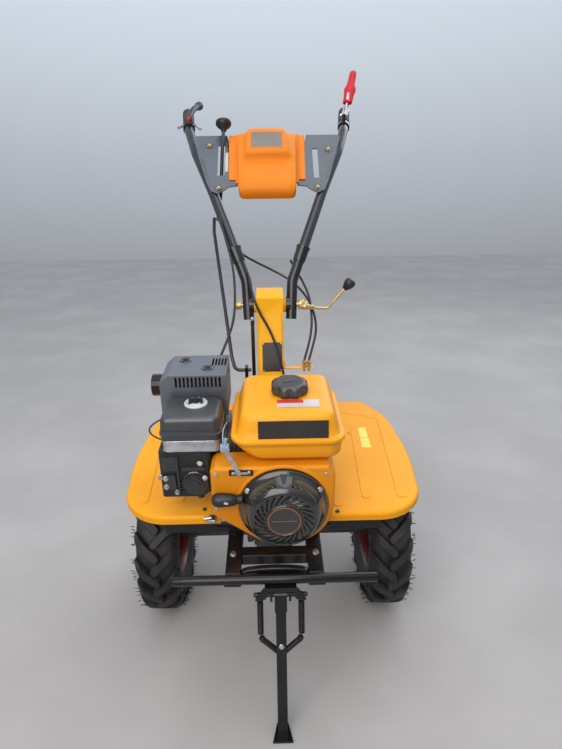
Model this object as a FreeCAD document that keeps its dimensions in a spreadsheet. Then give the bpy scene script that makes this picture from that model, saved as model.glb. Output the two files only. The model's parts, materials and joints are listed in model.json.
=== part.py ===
import FreeCAD, Part
import math
import os
from FreeCAD import Placement, Rotation, Vector

# Two-wheeled hand tractor with a single-cylinder petrol engine, drawn level in millimetres:
# X to the machine's left, Y from the bumper to the handlebars, Z up, zero on the wheel axle.
# Every piece is then placed as the machine parks, nose down on its wheels and its front stand.

doc = FreeCAD.newDocument("hand_tractor")
sheet = doc.addObject("Spreadsheet::Sheet", "Size")

SIZES = [
    # name, millimetres, degrees or a plain count
    ("nose_down", 5.0),
    ("running_gap", 0.4),
    ("seat_gap", 0.2),
    ("wheel_radius", 200.0),
    ("tyre_width", 107.0),
    ("wheel_track", 577.0),
    ("carcass_radius", 181.0),
    ("bead_radius", 106.0),
    ("lug_count", 18),
    ("lug_width", 19.0),
    ("lug_angle", 42.0),
    ("rim_width", 82.0),
    ("rim_flange", 116.0),
    ("rim_wall", 3.0),
    ("hub_radius", 19.0),
    ("hub_flange_radius", 62.0),
    ("hub_reach", 22.0),
    ("wheel_bolt_circle", 44.0),
    ("gearbox_width", 96.0),
    ("gearbox_boss_radius", 38.0),
    ("gearbox_boss_reach", 72.0),
    ("gearbox_top", 345.0),
    ("gearbox_front", 15.0),
    ("gearbox_depth", 110.0),
    ("clutch_radius", 84.0),
    ("crank_side", 21.0),
    ("crank_height", 289.5),
    ("engine_back", -64.0),
    ("engine_base", 183.5),
    ("crankcase_width", 160.0),
    ("cylinder_lean", 15.0),
    ("barrel_size", 80.0),
    ("barrel_reach", 166.0),
    ("fin_size", 108.0),
    ("fin_thickness", 3.0),
    ("fin_pitch", 9.0),
    ("fin_count", 8),
    ("shroud_back", -218.0),
    ("shroud_front", -278.0),
    ("shroud_radius", 106.0),
    ("shroud_top", 385.0),
    ("shroud_reach", 127.0),
    ("recoil_radius", 92.5),
    ("recoil_depth", 46.0),
    ("recoil_face_radius", 71.0),
    ("recoil_wall", 3.0),
    ("emblem_radius", 36.0),
    ("louvre_count", 24),
    ("vent_count", 12),
    ("pull_handle_length", 54.0),
    ("tank_side", 27.0),
    ("tank_width", 232.0),
    ("tank_depth", 244.0),
    ("tank_front", -273.0),
    ("tank_seam", 437.0),
    ("tank_top", 487.0),
    ("tank_bottom", 397.0),
    ("tank_corner", 36.0),
    ("tank_flange", 12.0),
    ("tank_flange_height", 9.0),
    ("tank_sump_right", -46.0),
    ("cap_side", 38.5),
    ("cap_back", 116.0),
    ("cap_radius", 39.0),
    ("cap_height", 34.0),
    ("guard_width", 145.0),
    ("guard_depth", 114.0),
    ("guard_height", 96.0),
    ("guard_top", 520.0),
    ("guard_front", -126.0),
    ("guard_gap", 8.0),
    ("guard_wall", 2.0),
    ("guard_slot_count", 12),
    ("muffler_gap", 12.0),
    ("outlet_radius", 25.0),
    ("outlet_height", 474.0),
    ("outlet_end", -268.0),
    ("filter_width", 128.0),
    ("filter_depth", 110.0),
    ("filter_front", -242.0),
    ("filter_top", 478.0),
    ("filter_seam", 427.0),
    ("filter_base", 398.0),
    ("filter_gap", 13.0),
    ("filter_nut_radius", 24.0),
    ("intake_bottom", 289.0),
    ("intake_width", 107.0),
    ("rail_spacing", 170.0),
    ("rail_width", 32.0),
    ("rail_height", 25.0),
    ("rail_wall", 4.0),
    ("rail_front", -356.0),
    ("rail_back", 66.0),
    ("bumper_length", 400.0),
    ("bumper_radius", 10.0),
    ("stand_side", 11.0),
    ("stand_drop", 36.0),
    ("stand_reach", 90.0),
    ("stand_leg_width", 21.0),
    ("stand_foot_width", 42.0),
    ("stand_foot_length", 42.0),
    ("stand_pin_radius", 5.0),
    ("stand_pin_length", 100.0),
    ("spring_radius", 7.0),
    ("spring_side", 42.0),
    ("spring_length", 96.0),
    ("fender_top", 236.0),
    ("fender_lip", 20.0),
    ("fender_sheet", 2.0),
    ("fender_front", -240.0),
    ("fender_back", 292.0),
    ("fender_inner", 116.0),
    ("fender_outer", 350.0),
    ("fender_bead_width", 22.0),
    ("fender_bead_height", 2.0),
    ("column_width", 66.0),
    ("column_wall_depth", 62.0),
    ("column_head", 42.0),
    ("pivot_back", 150.0),
    ("pivot_height", 590.0),
    ("pivot_bolt_radius", 6.0),
    ("tube_radius", 13.5),
    ("tube_wall", 2.0),
    ("grip_radius", 17.0),
    ("grip_length", 121.0),
    ("dash_side", 5.0),
    ("dash_depth", 44.0),
    ("plate_thickness", 4.0),
    ("gear_knob_radius", 20.0),
    ("cable_radius", 3.0),
    ("shift_rod_radius", 4.5),
    ("hitch_reach", 150.0),
    ("hitch_width", 56.0),
    ("hitch_wall", 12.0),
    ("hitch_pin_radius", 8.0),
]
for row, (alias, number) in enumerate(SIZES, 1):
    sheet.set(f"A{row}", alias)
    sheet.set(f"B{row}", str(number))
    sheet.setAlias(f"B{row}", alias)
doc.recompute()


def size(alias):
    return float(sheet.get(alias))


nodes = []


def node(piece, label):
    """A finished piece takes its label, which names its file."""
    piece.Label = label
    nodes.append(piece)
    return piece


def primitive(kind, at=(0, 0, 0), turn=None, **bound):
    """A Part primitive whose sizes follow the sheet."""
    piece = doc.addObject("Part::" + kind, kind)
    for prop, formula in bound.items():
        piece.setExpression(prop, str(formula))
    piece.Placement = Placement(Vector(*at), turn or Rotation())
    return piece


def fuse(*pieces):
    whole = doc.addObject("Part::MultiFuse", "Fusion")
    whole.Shapes = list(pieces)
    whole.Refine = True
    return whole


def cut(base, tool):
    whole = doc.addObject("Part::Cut", "Cut")
    whole.Base = base
    whole.Tool = tool
    whole.Refine = True
    return whole


def feature(shape):
    piece = doc.addObject("Part::Feature", "Shape")
    piece.Shape = shape
    return piece


ORIGIN, X_AXIS, Y_AXIS, Z_AXIS = Vector(0, 0, 0), Vector(1, 0, 0), Vector(0, 1, 0), Vector(0, 0, 1)
ALONG_X = Rotation(Y_AXIS, 90)
SIDES = (("right", -1), ("left", 1))


def polygon(points):
    """A flat closed face through points given as vectors or as (x, y, z)."""
    corners = [Vector(*p) for p in points]
    return Part.Face(Part.makePolygon(corners + corners[:1]))


def turned_about(axis, profile):
    """A round solid: the profile's pairs are a place along the axis and a radius."""
    across = Z_AXIS if axis is not Z_AXIS else X_AXIS
    return polygon([axis * along + across * radius for along, radius in profile]).revolve(ORIGIN, axis, 360)


def block(low, high):
    """A box between two corners."""
    return Part.makeBox(high[0] - low[0], high[1] - low[1], high[2] - low[2], Vector(*low))


def mirrored(shape, sign):
    """The machine's left piece as drawn, or its twin on the right."""
    return shape.copy() if sign > 0 else shape.mirror(ORIGIN, X_AXIS)


def rounded(shape, radius, keep):
    """Round the edges that keep(edge) chooses."""
    edges = [e for e in shape.Edges if keep(e)]
    return shape.makeFillet(radius, edges)


def route(points, radii):
    """Straight runs joined by tangent arcs; radii has one value for each inner point."""
    corners = [Vector(*p) for p in points]
    edges = []
    start = corners[0]
    for before, corner, after, radius in zip(corners, corners[1:], corners[2:], radii):
        back = (before - corner).normalize()
        ahead = (after - corner).normalize()
        half = back.getAngle(ahead) / 2
        reach = radius / math.tan(half)
        middle = (back + ahead).normalize() * (radius / math.sin(half) - radius)
        arc_start = corner + back * reach
        arc_end = corner + ahead * reach
        edges.append(Part.LineSegment(start, arc_start).toShape())
        edges.append(Part.Arc(arc_start, corner + middle, arc_end).toShape())
        start = arc_end
    edges.append(Part.LineSegment(start, corners[-1]).toShape())
    return Part.Wire(edges)


def rod(points, radii, radius, bore=0.0):
    """A round bar or tube along a route."""
    path = route(points, radii)
    ahead = (Vector(*points[1]) - Vector(*points[0])).normalize()

    def sweep(r):
        ring = Part.Wire([Part.Circle(Vector(*points[0]), ahead, r).toShape()])
        return path.makePipeShell([ring], True, True)
    solid = sweep(radius)
    return solid.cut(sweep(bore)) if bore else solid


def drawn_body(label):
    """A design body and a function that draws closed outlines on its origin planes."""
    body = doc.addObject("PartDesign::Body", label)

    def sketch(plane, lines, offset=0.0):
        drawing = body.newObject("Sketcher::SketchObject", "Sketch")
        origin_plane = next(f for f in body.Origin.OriginFeatures if f.Role == plane)
        drawing.AttachmentSupport = (origin_plane, [""])
        drawing.MapMode = "FlatFace"
        drawing.AttachmentOffset = Placement(Vector(0, 0, offset), Rotation())
        for line in lines:
            drawing.addGeometry(line, False)
        return drawing
    return body, sketch


def outline(points):
    """Sketch lines round a polygon of (across, up) points."""
    corners = [Vector(a, b, 0) for a, b in points]
    return [Part.LineSegment(p, q) for p, q in zip(corners, corners[1:] + corners[:1])]


def ring(across, up, radius):
    """A sketch circle."""
    return [Part.Circle(Vector(across, up, 0), Z_AXIS, radius)]


def rounded_outline(left, low, right, high, corner):
    """Sketch lines and arcs of a rectangle with round corners."""
    turns = [(right - corner, low + corner, -90), (right - corner, high - corner, 0),
             (left + corner, high - corner, 90), (left + corner, low + corner, 180)]
    arcs = []
    for a, b, start in turns:
        rim = Part.Circle(Vector(a, b, 0), Z_AXIS, corner)
        arcs.append(Part.ArcOfCircle(rim, math.radians(start), math.radians(start + 90)))
    sides = [Part.LineSegment(p.EndPoint, q.StartPoint) for p, q in zip(arcs, arcs[1:] + arcs[:1])]
    return arcs + sides


def pad(body, drawing, formula, midplane=False):
    solid = body.newObject("PartDesign::Pad", "Pad")
    solid.Profile = drawing
    solid.setExpression("Length", formula)
    solid.Midplane = midplane
    doc.recompute()
    return solid


def fillet(body, base, radius, keep):
    """Round the edges of a feature that keep(edge) chooses."""
    names = [f"Edge{i}" for i, e in enumerate(base.Shape.Edges, 1) if keep(e)]
    soft = body.newObject("PartDesign::Fillet", "Fillet")
    soft.Base = (base, names)
    soft.Radius = radius
    doc.recompute()
    return soft


# Wheels: a pneumatic tyre with staggered chevron lugs on a pressed rim, bolted to a hub on the axle

half_track = size("wheel_track") / 2
rim_well = size("bead_radius") - size("rim_wall") - size("running_gap")


def tyre_shape():
    """Carcass turned about X with two rows of slanted lugs fused to it."""
    half = size("tyre_width") / 2
    crown, bead, tip = size("carcass_radius"), size("bead_radius"), size("wheel_radius")
    bead_half = size("rim_width") / 2 - size("rim_wall") - size("running_gap")
    wall = size("rim_flange") + 2
    belly, shoulder = (half - 2, (crown + wall) / 2), (half - 12, crown - 7)
    section = [(bead_half, bead), (bead_half, wall), belly, shoulder, (0, crown)]
    section += [(-a, b) for a, b in reversed(section[:-1])]
    carcass = turned_about(X_AXIS, section)
    width = size("lug_width")
    lug_profile = [
        # along the lug from the tread's middle, out from the axle
        (-9, tip - 0.4), (half + 2, tip - 8), (half + 10, tip - 26), (half + 6, tip - 40), (-9, tip - 32),
    ]
    lug = polygon([(a, -width / 2, b) for a, b in lug_profile]).extrude(Y_AXIS * width)
    lug.Placement = Placement(ORIGIN, Rotation(Z_AXIS, size("lug_angle")))
    side_planes = block((-half, -2 * half, 0), (half, 2 * half, tip))
    lug = lug.common(side_planes)
    count = int(size("lug_count"))
    lugs = []
    for index in range(count):
        for sign, stagger in ((1, 0.0), (-1, 0.5)):
            copy = mirrored(lug, sign)
            copy.rotate(ORIGIN, X_AXIS, (index + stagger) * 360 / count)
            lugs.append(copy)
    return carcass.multiFuse(lugs).removeSplitter()


def rim_shape():
    """Barrel and centre disc turned about X."""
    half, wall, flange = size("rim_width") / 2, size("rim_wall"), size("rim_flange")
    bore = size("hub_radius") + size("running_gap")
    return turned_about(X_AXIS, [
        (-half, flange), (-half + wall, flange), (-half + wall, rim_well + wall), (half - wall, rim_well + wall),
        (half - wall, flange), (half, flange), (half, rim_well), (wall, rim_well), (wall, bore), (0, bore),
        (0, rim_well), (-half, rim_well)])


def hub_shape():
    """Sleeve on the axle with a flange that carries the rim disc, and its four bolts."""
    start = size("gearbox_boss_reach") + size("running_gap")
    flange, bolt_length = 6, 10
    sleeve = Part.makeCylinder(size("hub_radius"), half_track + size("hub_reach") - start, X_AXIS * start, X_AXIS)
    plate = Part.makeCylinder(size("hub_flange_radius"), flange, X_AXIS * (half_track - flange - size("seat_gap")),
                              X_AXIS)
    bolts = []
    for index in range(4):
        foot = Vector(half_track - flange - bolt_length, size("wheel_bolt_circle"), 0)
        bolt = Part.makeCylinder(7, bolt_length, foot, X_AXIS)
        bolt.rotate(ORIGIN, X_AXIS, 90 * index + 45)
        bolts.append(bolt)
    return sleeve.multiFuse([plate] + bolts)


WHEEL_PIECES = (("tyre_", tyre_shape(), True), ("rim_", rim_shape(), True), ("hub_", hub_shape(), False))
for name, sign in SIDES:
    for stem, shape, centred_on_wheel in WHEEL_PIECES:
        piece = mirrored(shape, sign)
        node(feature(piece.translated(X_AXIS * sign * half_track) if centred_on_wheel else piece), stem + name)

# Gearbox: a cast case that stands on the axle and carries the handle column

gearbox, draw = drawn_body("gearbox")
case_front, case_back = size("gearbox_front"), size("gearbox_front") + size("gearbox_depth")
case_top = size("gearbox_top")
case_side = [
    # back from the axle, up
    (-50, -42), (50, -42), (72, -16), (72, 140), (case_back, 190), (case_back, case_top),
    (case_front, case_top), (case_front, 205), (-40, 120), (-60, 0),
]
case = pad(gearbox, draw("YZ_Plane", outline(case_side)), "Size.gearbox_width", midplane=True)
fillet(gearbox, case, 9, lambda e: e.BoundBox.XLength < 0.01)
pad(gearbox, draw("YZ_Plane", ring(0, 0, size("gearbox_boss_radius"))), "2 * Size.gearbox_boss_reach", midplane=True)
pad(gearbox, draw("YZ_Plane", ring(case_front + 55, size("crank_height"), 40)), "Size.gearbox_width + 16",
    midplane=True)
node(gearbox, "gearbox")

# Clutch housing: a cast bell between the crankcase and the gearbox

crank = Vector(size("crank_side"), 0, size("crank_height"))
engine_back, clutch_radius = size("engine_back"), size("clutch_radius")
bell = turned_about(Y_AXIS, [
    (engine_back, clutch_radius), (engine_back + 10, clutch_radius), (case_front - 35, clutch_radius - 8),
    (case_front, clutch_radius - 18), (case_front, 0), (engine_back, 0)])
node(feature(bell.translated(crank)), "clutch_housing")

# Engine: crankcase, leaning finned cylinder, seats for the tank and the exhaust in one block

base_z, shroud_back = size("engine_base"), size("shroud_back")
foot_height, tank_seat_depth = 12, 24
crankcase = primitive("Box", (crank.x - 78, shroud_back, base_z + 10), Length="Size.crankcase_width",
                      Width="Size.engine_back - Size.shroud_back", Height="Size.tank_bottom - Size.engine_base - 22")
tank_seats = []
for offset in (6, 118):
    tank_seats.append(primitive("Box", (crank.x - 60, shroud_back + offset, base_z + 10), Length="120",
                                Width=tank_seat_depth, Height="Size.tank_bottom - Size.engine_base - 10"))
foot = primitive("Box", (-98, shroud_back + 6, base_z), Length="196",
                 Width="Size.engine_back - Size.shroud_back - 16", Height=foot_height)
lean = Rotation(Y_AXIS, size("cylinder_lean"))


def on_cylinder(reach, back, drop):
    """A point on the leaning cylinder: out from the crank, forward of the engine's back, below the axis."""
    return crank + lean.multVec(Vector(-reach, 0, -drop)) + Vector(0, engine_back - back, 0)


tank_right = size("tank_side") - size("tank_width") / 2
guard_left = tank_right - size("guard_gap")
exhaust_side, exhaust_seat_top = guard_left - 24, 392
exhaust_seat = primitive("Box", (exhaust_side - 6, -104, exhaust_seat_top - 52), Length=-90 - exhaust_side,
                         Width="60", Height="52")
fins, head_margin = [], 82
for index in range(int(size("fin_count"))):
    reach = size("barrel_reach") - head_margin + index * size("fin_pitch")
    fins.append(primitive("Box", on_cylinder(reach, 98, size("fin_size") / 2), lean,
                          Length="Size.fin_thickness", Width="96", Height="Size.fin_size"))
barrel = primitive("Box", on_cylinder(size("barrel_reach"), 90, size("barrel_size") / 2), lean,
                   Length="Size.barrel_reach - 66", Width="Size.barrel_size", Height="Size.barrel_size")
node(fuse(crankcase, foot, barrel, exhaust_seat, *tank_seats, *fins), "engine_block")

cover_size, cover_depth = 88, 34
head = block((0, 0, 0), (cover_depth, cover_size, cover_size))
head = rounded(head, 10, lambda e: e.BoundBox.XLength > cover_depth - 4 or e.BoundBox.XMax < 1)
head.Placement = Placement(on_cylinder(size("barrel_reach") + cover_depth, 94, cover_size / 2), lean)
node(feature(head), "rocker_cover")

# Fan shroud: pressed steel round the flywheel, drawn out over the cylinder

shroud, draw = drawn_body("fan_shroud")
shroud_front, radius = size("shroud_front"), size("shroud_radius")
shroud_left, shroud_right, shroud_top = crank.x + radius, -size("shroud_reach"), size("shroud_top")


def on_shroud(degrees):
    """A point on the round of the shroud, measured from the machine's left."""
    turn = math.radians(degrees)
    return Vector(crank.x + radius * math.cos(turn), crank.z + radius * math.sin(turn), 0)


shroud_corners = [on_shroud(0), (shroud_left, shroud_top - 20), (shroud_left - 14, shroud_top),
                  (shroud_right + 10, shroud_top), (shroud_right, shroud_top - 10), (shroud_right, crank.z - 22),
                  on_shroud(238)]
corners = [Vector(c[0], c[1], 0) for c in shroud_corners]
shroud_outline = [Part.Arc(on_shroud(238), on_shroud(300), on_shroud(0))]
shroud_outline += [Part.LineSegment(p, q) for p, q in zip(corners, corners[1:])]
shroud_pad = pad(shroud, draw("XZ_Plane", shroud_outline, -shroud_back), "Size.shroud_back - Size.shroud_front")
fillet(shroud, shroud_pad, 8, lambda e: e.BoundBox.YMax < shroud_front + 0.1)
node(shroud, "fan_shroud")

# Recoil starter cover: a drawn steel dome with a ring of spiral louvres round its centre plate


def recoil_shape():
    rim, face_radius, wall = size("recoil_radius"), size("recoil_face_radius"), size("recoil_wall")
    seat, face = shroud_front, shroud_front - size("recoil_depth")
    emblem = size("emblem_radius")
    dome = turned_about(Y_AXIS, [
        (seat, rim), (seat - 8, rim), (seat - 12, rim - 8), (face + 8, face_radius), (face, face_radius - 8),
        (face, emblem + 2), (face - 3, emblem), (face - 3, 0), (face + wall, 0), (face + wall, face_radius - 9),
        (face + 8 + wall, face_radius - wall), (seat - 12, rim - 8 - 2 * wall), (seat, rim - 14)])
    inner, outer = emblem + 5, face_radius - 10
    louvre = polygon([(inner, face - 1, -1.6), (outer, face - 1, 7.0), (outer, face - 1, 10.6),
                      (inner, face - 1, 1.6)]).extrude(Y_AXIS * (wall + 2))
    vent = block((rim - 17, seat - 30, -4), (rim + 2, seat - 14, 4))
    tools = []
    for tool, count, start in ((louvre, int(size("louvre_count")), 0.0), (vent, int(size("vent_count")), 0.5)):
        for index in range(count):
            turned = tool.copy()
            turned.rotate(ORIGIN, Y_AXIS, (index + start) * 360 / count)
            tools.append(turned)
    return dome.cut(tools)


node(feature(recoil_shape().translated(crank)), "recoil_cover")

# Pull handle of the starter, parked beside its cover

handle_right, handle_low = -125, crank.z + 15
handle = block((handle_right, shroud_front - 28, handle_low),
               (handle_right + size("pull_handle_length"), shroud_front, handle_low + 30))
handle = rounded(handle, 11, lambda e: e.BoundBox.YLength > 20)
node(feature(rounded(handle, 5, lambda e: e.BoundBox.YMax < shroud_front - 27)), "pull_handle")

# Fuel tank: two pressed halves joined at a flange, the lower one cut short beside the carburettor

tank, draw = drawn_body("fuel_tank")
tank_left = tank_right + size("tank_width")
tank_front, tank_back = size("tank_front"), size("tank_front") + size("tank_depth")
tank_seam, flange = size("tank_seam"), size("tank_flange")


def tank_ring(inset, right):
    """The tank's rounded outline seen from above, inset from its flange."""
    return rounded_outline(right, tank_front + inset, tank_left - inset, tank_back - inset,
                           size("tank_corner") - inset)


pad(tank, draw("XY_Plane", tank_ring(0, tank_right), tank_seam - size("tank_flange_height") / 2),
    "Size.tank_flange_height")
upper = pad(tank, draw("XY_Plane", tank_ring(flange, tank_right + flange), tank_seam), "Size.tank_top - Size.tank_seam")
fillet(tank, upper, 18, lambda e: e.BoundBox.ZMin > size("tank_top") - 0.1)
lower = pad(tank, draw("XY_Plane", tank_ring(flange + 4, size("tank_sump_right")), size("tank_bottom")),
            "Size.tank_seam - Size.tank_bottom")
fillet(tank, lower, 10, lambda e: e.BoundBox.ZMax < size("tank_bottom") + 0.1)
node(tank, "fuel_tank")

cap_centre = Vector(size("cap_side"), tank_front + size("cap_back"), size("tank_top"))
cap = Part.makeCylinder(size("cap_radius"), size("cap_height"), cap_centre)
cap = cap.makeChamfer(4, [e for e in cap.Edges if e.BoundBox.ZMin > cap_centre.z + 5 and e.BoundBox.ZLength < 0.1])
groove = Part.makeCylinder(7, size("cap_height") - 12, cap_centre + Vector(size("cap_radius") + 4, 0, 0))
grooves = []
for index in range(12):
    grooves.append(groove.rotated(cap_centre, Z_AXIS, index * 30))
node(feature(cap.cut(grooves)), "fuel_cap")

# Muffler under a slotted guard, and its outlet

guard_right = guard_left - size("guard_width")
guard_front, guard_back = size("guard_front"), size("guard_front") + size("guard_depth")
guard_top, guard_low, guard_wall = size("guard_top"), size("guard_top") - size("guard_height"), size("guard_wall")
bevel_across, bevel_down = 19, 16


def guard_section(y, inset):
    """The guard seen from the front, with its sloping outer corner; the inner one is open below."""
    left, right, high = guard_left - inset, guard_right + inset, guard_top - inset
    low = guard_low if inset == 0 else guard_low - 1
    return polygon([(right, y, low), (left, y, low), (left, y, high), (right + bevel_across, y, high),
                    (right, y, high - bevel_down)])


guard = guard_section(guard_front, 0).extrude(Y_AXIS * size("guard_depth"))
guard = guard.cut(guard_section(guard_front + guard_wall, guard_wall)
                  .extrude(Y_AXIS * (size("guard_depth") - 2 * guard_wall)))
outlet_y, outlet_z, outlet_radius = guard_front + 56, size("outlet_height"), size("outlet_radius")
openings = [Part.makeCylinder(outlet_radius + size("seat_gap"), 30, Vector(guard_right - 10, outlet_y, outlet_z), X_AXIS)]
for index in range(5):
    x = guard_left - 36 + index * 7
    openings.append(block((x, guard_front + 56, guard_top - 10), (x + 4, guard_front + 96, guard_top + 10)))
for index in range(int(size("guard_slot_count"))):
    x = guard_right + 34 + index * 8.6
    openings.append(block((x, guard_front - 5, guard_top - 28), (x + 4.4, guard_front + 15, guard_top - 4)))
node(feature(guard.cut(openings)), "muffler_guard")

muffler_gap = size("muffler_gap")
muffler_top = guard_top - guard_wall - muffler_gap
muffler = block((guard_right + muffler_gap, guard_front + muffler_gap, guard_low + 6),
                (guard_left - muffler_gap, guard_back - muffler_gap, muffler_top))
muffler = rounded(muffler, 14, lambda e: e.BoundBox.YLength > 60)
stub = Part.makeCylinder(14, guard_low + 10 - exhaust_seat_top, Vector(exhaust_side, -74, exhaust_seat_top))
posts = []
for x, y in ((guard_right + 44, guard_back - 44), (guard_right + 78, guard_back - 74)):
    posts.append(Part.makeCylinder(6, muffler_gap + 2, Vector(x, y, muffler_top - 2)))
node(feature(muffler.multiFuse([stub] + posts)), "muffler")
outlet_length = guard_right + muffler_gap - size("outlet_end")
outlet = Part.makeCylinder(outlet_radius, outlet_length, Vector(size("outlet_end"), outlet_y, outlet_z), X_AXIS)
outlet = outlet.cut(Part.makeCylinder(outlet_radius - 3, outlet_length - 3,
                                      Vector(size("outlet_end") - 1, outlet_y, outlet_z), X_AXIS))
node(feature(outlet), "exhaust_outlet")

# Air cleaner: cover, wing nut, bright base and the intake housing under it

filter_left, filter_front, filter_top = tank_right - size("filter_gap"), size("filter_front"), size("filter_top")
filter_right, filter_back = filter_left - size("filter_width"), filter_front + size("filter_depth")
filter_seam, filter_base = size("filter_seam"), size("filter_base")


def filter_layer(inset, low, high, corner):
    layer = block((filter_right + inset, filter_front + inset, low), (filter_left - inset, filter_back - inset, high))
    return rounded(layer, corner, lambda e: e.BoundBox.ZLength > high - low - 0.1)


cover = rounded(filter_layer(2, filter_seam, filter_top, 14), 8, lambda e: e.BoundBox.ZMin > filter_top - 0.1)
ridge = filter_layer(0, filter_seam + 10, filter_seam + 15, 16)
node(feature(cover.fuse(ridge)), "air_cleaner")
nut_at = Vector((filter_left + filter_right) / 2 + 7, (filter_front + filter_back) / 2 + 14, filter_top)
nut = Part.makeCylinder(size("filter_nut_radius"), 7, nut_at)
wing = block((nut_at.x - 17, nut_at.y - 4, nut_at.z + 4), (nut_at.x + 17, nut_at.y + 4, nut_at.z + 16))
node(feature(nut.fuse(wing)), "air_cleaner_nut")
node(feature(filter_layer(3, filter_base, filter_seam, 14)), "air_cleaner_base")

intake_bottom, intake_right, intake_depth = size("intake_bottom"), filter_right - 6, 66
intake_left = intake_right + size("intake_width")
intake = polygon([
    (intake_right, filter_front + 4, filter_base), (intake_right, filter_front + 4, intake_bottom),
    (intake_left - 22, filter_front + 4, intake_bottom), (intake_left, filter_front + 4, intake_bottom + 14),
    (intake_left, filter_front + 4, filter_base)]).extrude(Y_AXIS * intake_depth)
intake = rounded(intake, 8, lambda e: e.BoundBox.ZLength > 20)
elbow = Part.makeCylinder(20, 28, Vector(intake_left - 2, engine_back - 126, intake_bottom + 40), Y_AXIS)
node(feature(intake.fuse(elbow)), "intake_housing")

# Throttle linkage: a slotted plate on the shroud and the lever that slopes up beside the tank

plate_low, plate_right = shroud_top - 21, -89
lever_plate = primitive("Box", (plate_right, shroud_front - 2, plate_low), Length="50", Width="2", Height="17")
lever_pivot = Vector(-64, shroud_front - 8, shroud_top - 10)
lever_arm = primitive("Box", lever_pivot, Rotation(Y_AXIS, -122), Length="68", Width="8", Height="6")
node(fuse(lever_plate, lever_arm), "throttle_lever")

# Engine rails of bent channel, cross member, arched front band, bumper

rail_spacing, rail_width, rail_height = size("rail_spacing"), size("rail_width"), size("rail_height")
rail_wall, rail_low, rail_front = size("rail_wall"), base_z - rail_height, size("rail_front")
rail_gap = rail_spacing - rail_width
for name, sign in SIDES:
    corner = Vector(sign * rail_spacing / 2 - rail_width / 2, rail_front, rail_low)
    channel = primitive("Box", corner, Length="Size.rail_width", Width="Size.rail_back - Size.rail_front",
                        Height="Size.rail_height")
    hollow = primitive("Box", corner + Vector(rail_wall, -1, -rail_wall), Length="Size.rail_width - 2 * Size.rail_wall",
                       Width="Size.rail_back - Size.rail_front + 2", Height="Size.rail_height")
    spacer_x = size("gearbox_width") / 2 if sign > 0 else -rail_gap / 2
    spacer = primitive("Box", (spacer_x, 4, rail_low),
                       Length="(Size.rail_spacing - Size.rail_width - Size.gearbox_width) / 2", Width="56",
                       Height="Size.rail_height")
    node(fuse(cut(channel, hollow), spacer), "rail_" + name)
node(primitive("Box", (-rail_gap / 2, rail_front + 50, rail_low), Length="Size.rail_spacing - Size.rail_width",
               Width="28", Height="Size.rail_height"), "cross_member")
band_y, band_low, band_side, band_crown = rail_front + 6, base_z - 20, base_z - 2, base_z + 6
band_corners = [Vector(x, band_y, z) for x, z in ((-rail_gap / 2, band_side), (-rail_gap / 2, band_low),
                                                  (rail_gap / 2, band_low), (rail_gap / 2, band_side))]
band = [Part.LineSegment(p, q) for p, q in zip(band_corners, band_corners[1:])]
band.append(Part.Arc(band_corners[3], Vector(0, band_y, band_crown), band_corners[0]))
band_face = Part.Face(Part.Wire([line.toShape() for line in band]))
node(feature(band_face.extrude(Y_AXIS * 14)), "front_band")

bumper_y, bumper_z, bumper_radius = rail_front - size("bumper_radius"), base_z - 6, size("bumper_radius")
node(primitive("Cylinder", (-size("bumper_length") / 2, bumper_y, bumper_z), ALONG_X,
               Radius="Size.bumper_radius", Height="Size.bumper_length"), "bumper_bar")

# Front stand: a sprung leg on a bracket under the bumper

pin = Vector(size("stand_side"), bumper_y - 6, bumper_z - size("stand_drop"))
pin_radius, pin_length = size("stand_pin_radius"), size("stand_pin_length")
cheek_top = bumper_z - bumper_radius + 1.5
bracket = block((pin.x - 32, pin.y - 5, cheek_top - 7), (pin.x + 32, pin.y + 17, cheek_top))
for side in (-1, 1):
    cheek_x = pin.x + side * 19
    bracket = bracket.fuse(block((cheek_x - 2.5, pin.y - 11, pin.z - 8), (cheek_x + 2.5, pin.y + 11, cheek_top)))
bolt = Part.makeCylinder(pin_radius, pin_length, pin - X_AXIS * pin_length / 2, X_AXIS)
bar_space = Part.makeCylinder(bumper_radius, pin_length, Vector(pin.x - pin_length / 2, bumper_y, bumper_z), X_AXIS)
node(feature(bracket.fuse(bolt).cut(bar_space)), "stand_bracket")

nose_down = math.radians(size("nose_down"))
foot_y = pin.y - size("stand_reach")
ground = -(size("wheel_radius") + foot_y * math.sin(nose_down)) / math.cos(nose_down)
foot_point = Vector(pin.x, foot_y, ground)
leg_axis = foot_point - pin
leg_turn = Rotation(Z_AXIS * -1, leg_axis)
leg_half, leg_low = size("stand_leg_width") / 2, 3 - leg_axis.Length
leg_front = 3 - leg_half
leg = block((-leg_half, leg_front, leg_low), (leg_half, leg_half - 3, -3))
socket = block((-leg_half - 2, leg_front - 2, -34), (leg_half + 2, leg_half - 1, 0))
eye = Part.makeCylinder(11, 2 * leg_half + 4, Vector(-leg_half - 2, 0, 0), X_AXIS)
wings = [rod([(0, 0, -132), (side * 22, 0, -112), (side * 37, 0, -99)], [20], 6) for side in (-1, 1)]
leg = leg.multiFuse([socket, eye] + wings)
leg = leg.cut(Part.makeCylinder(pin_radius + size("running_gap") / 4, 60, X_AXIS * -30, X_AXIS))
leg.Placement = Placement(pin, leg_turn)
foot_half, foot_depth = size("stand_foot_width") / 2, size("stand_foot_length") / 2
sole = polygon([(-foot_half, -foot_depth, 0), (foot_half, -foot_depth, 0), (foot_half - 9, foot_depth, 0),
                (9 - foot_half, foot_depth, 0)]).extrude(Z_AXIS * 5)
sole.Placement = Placement(foot_point, Rotation(X_AXIS, -size("nose_down")))
node(feature(leg.fuse(sole)), "stand_leg")

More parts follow.
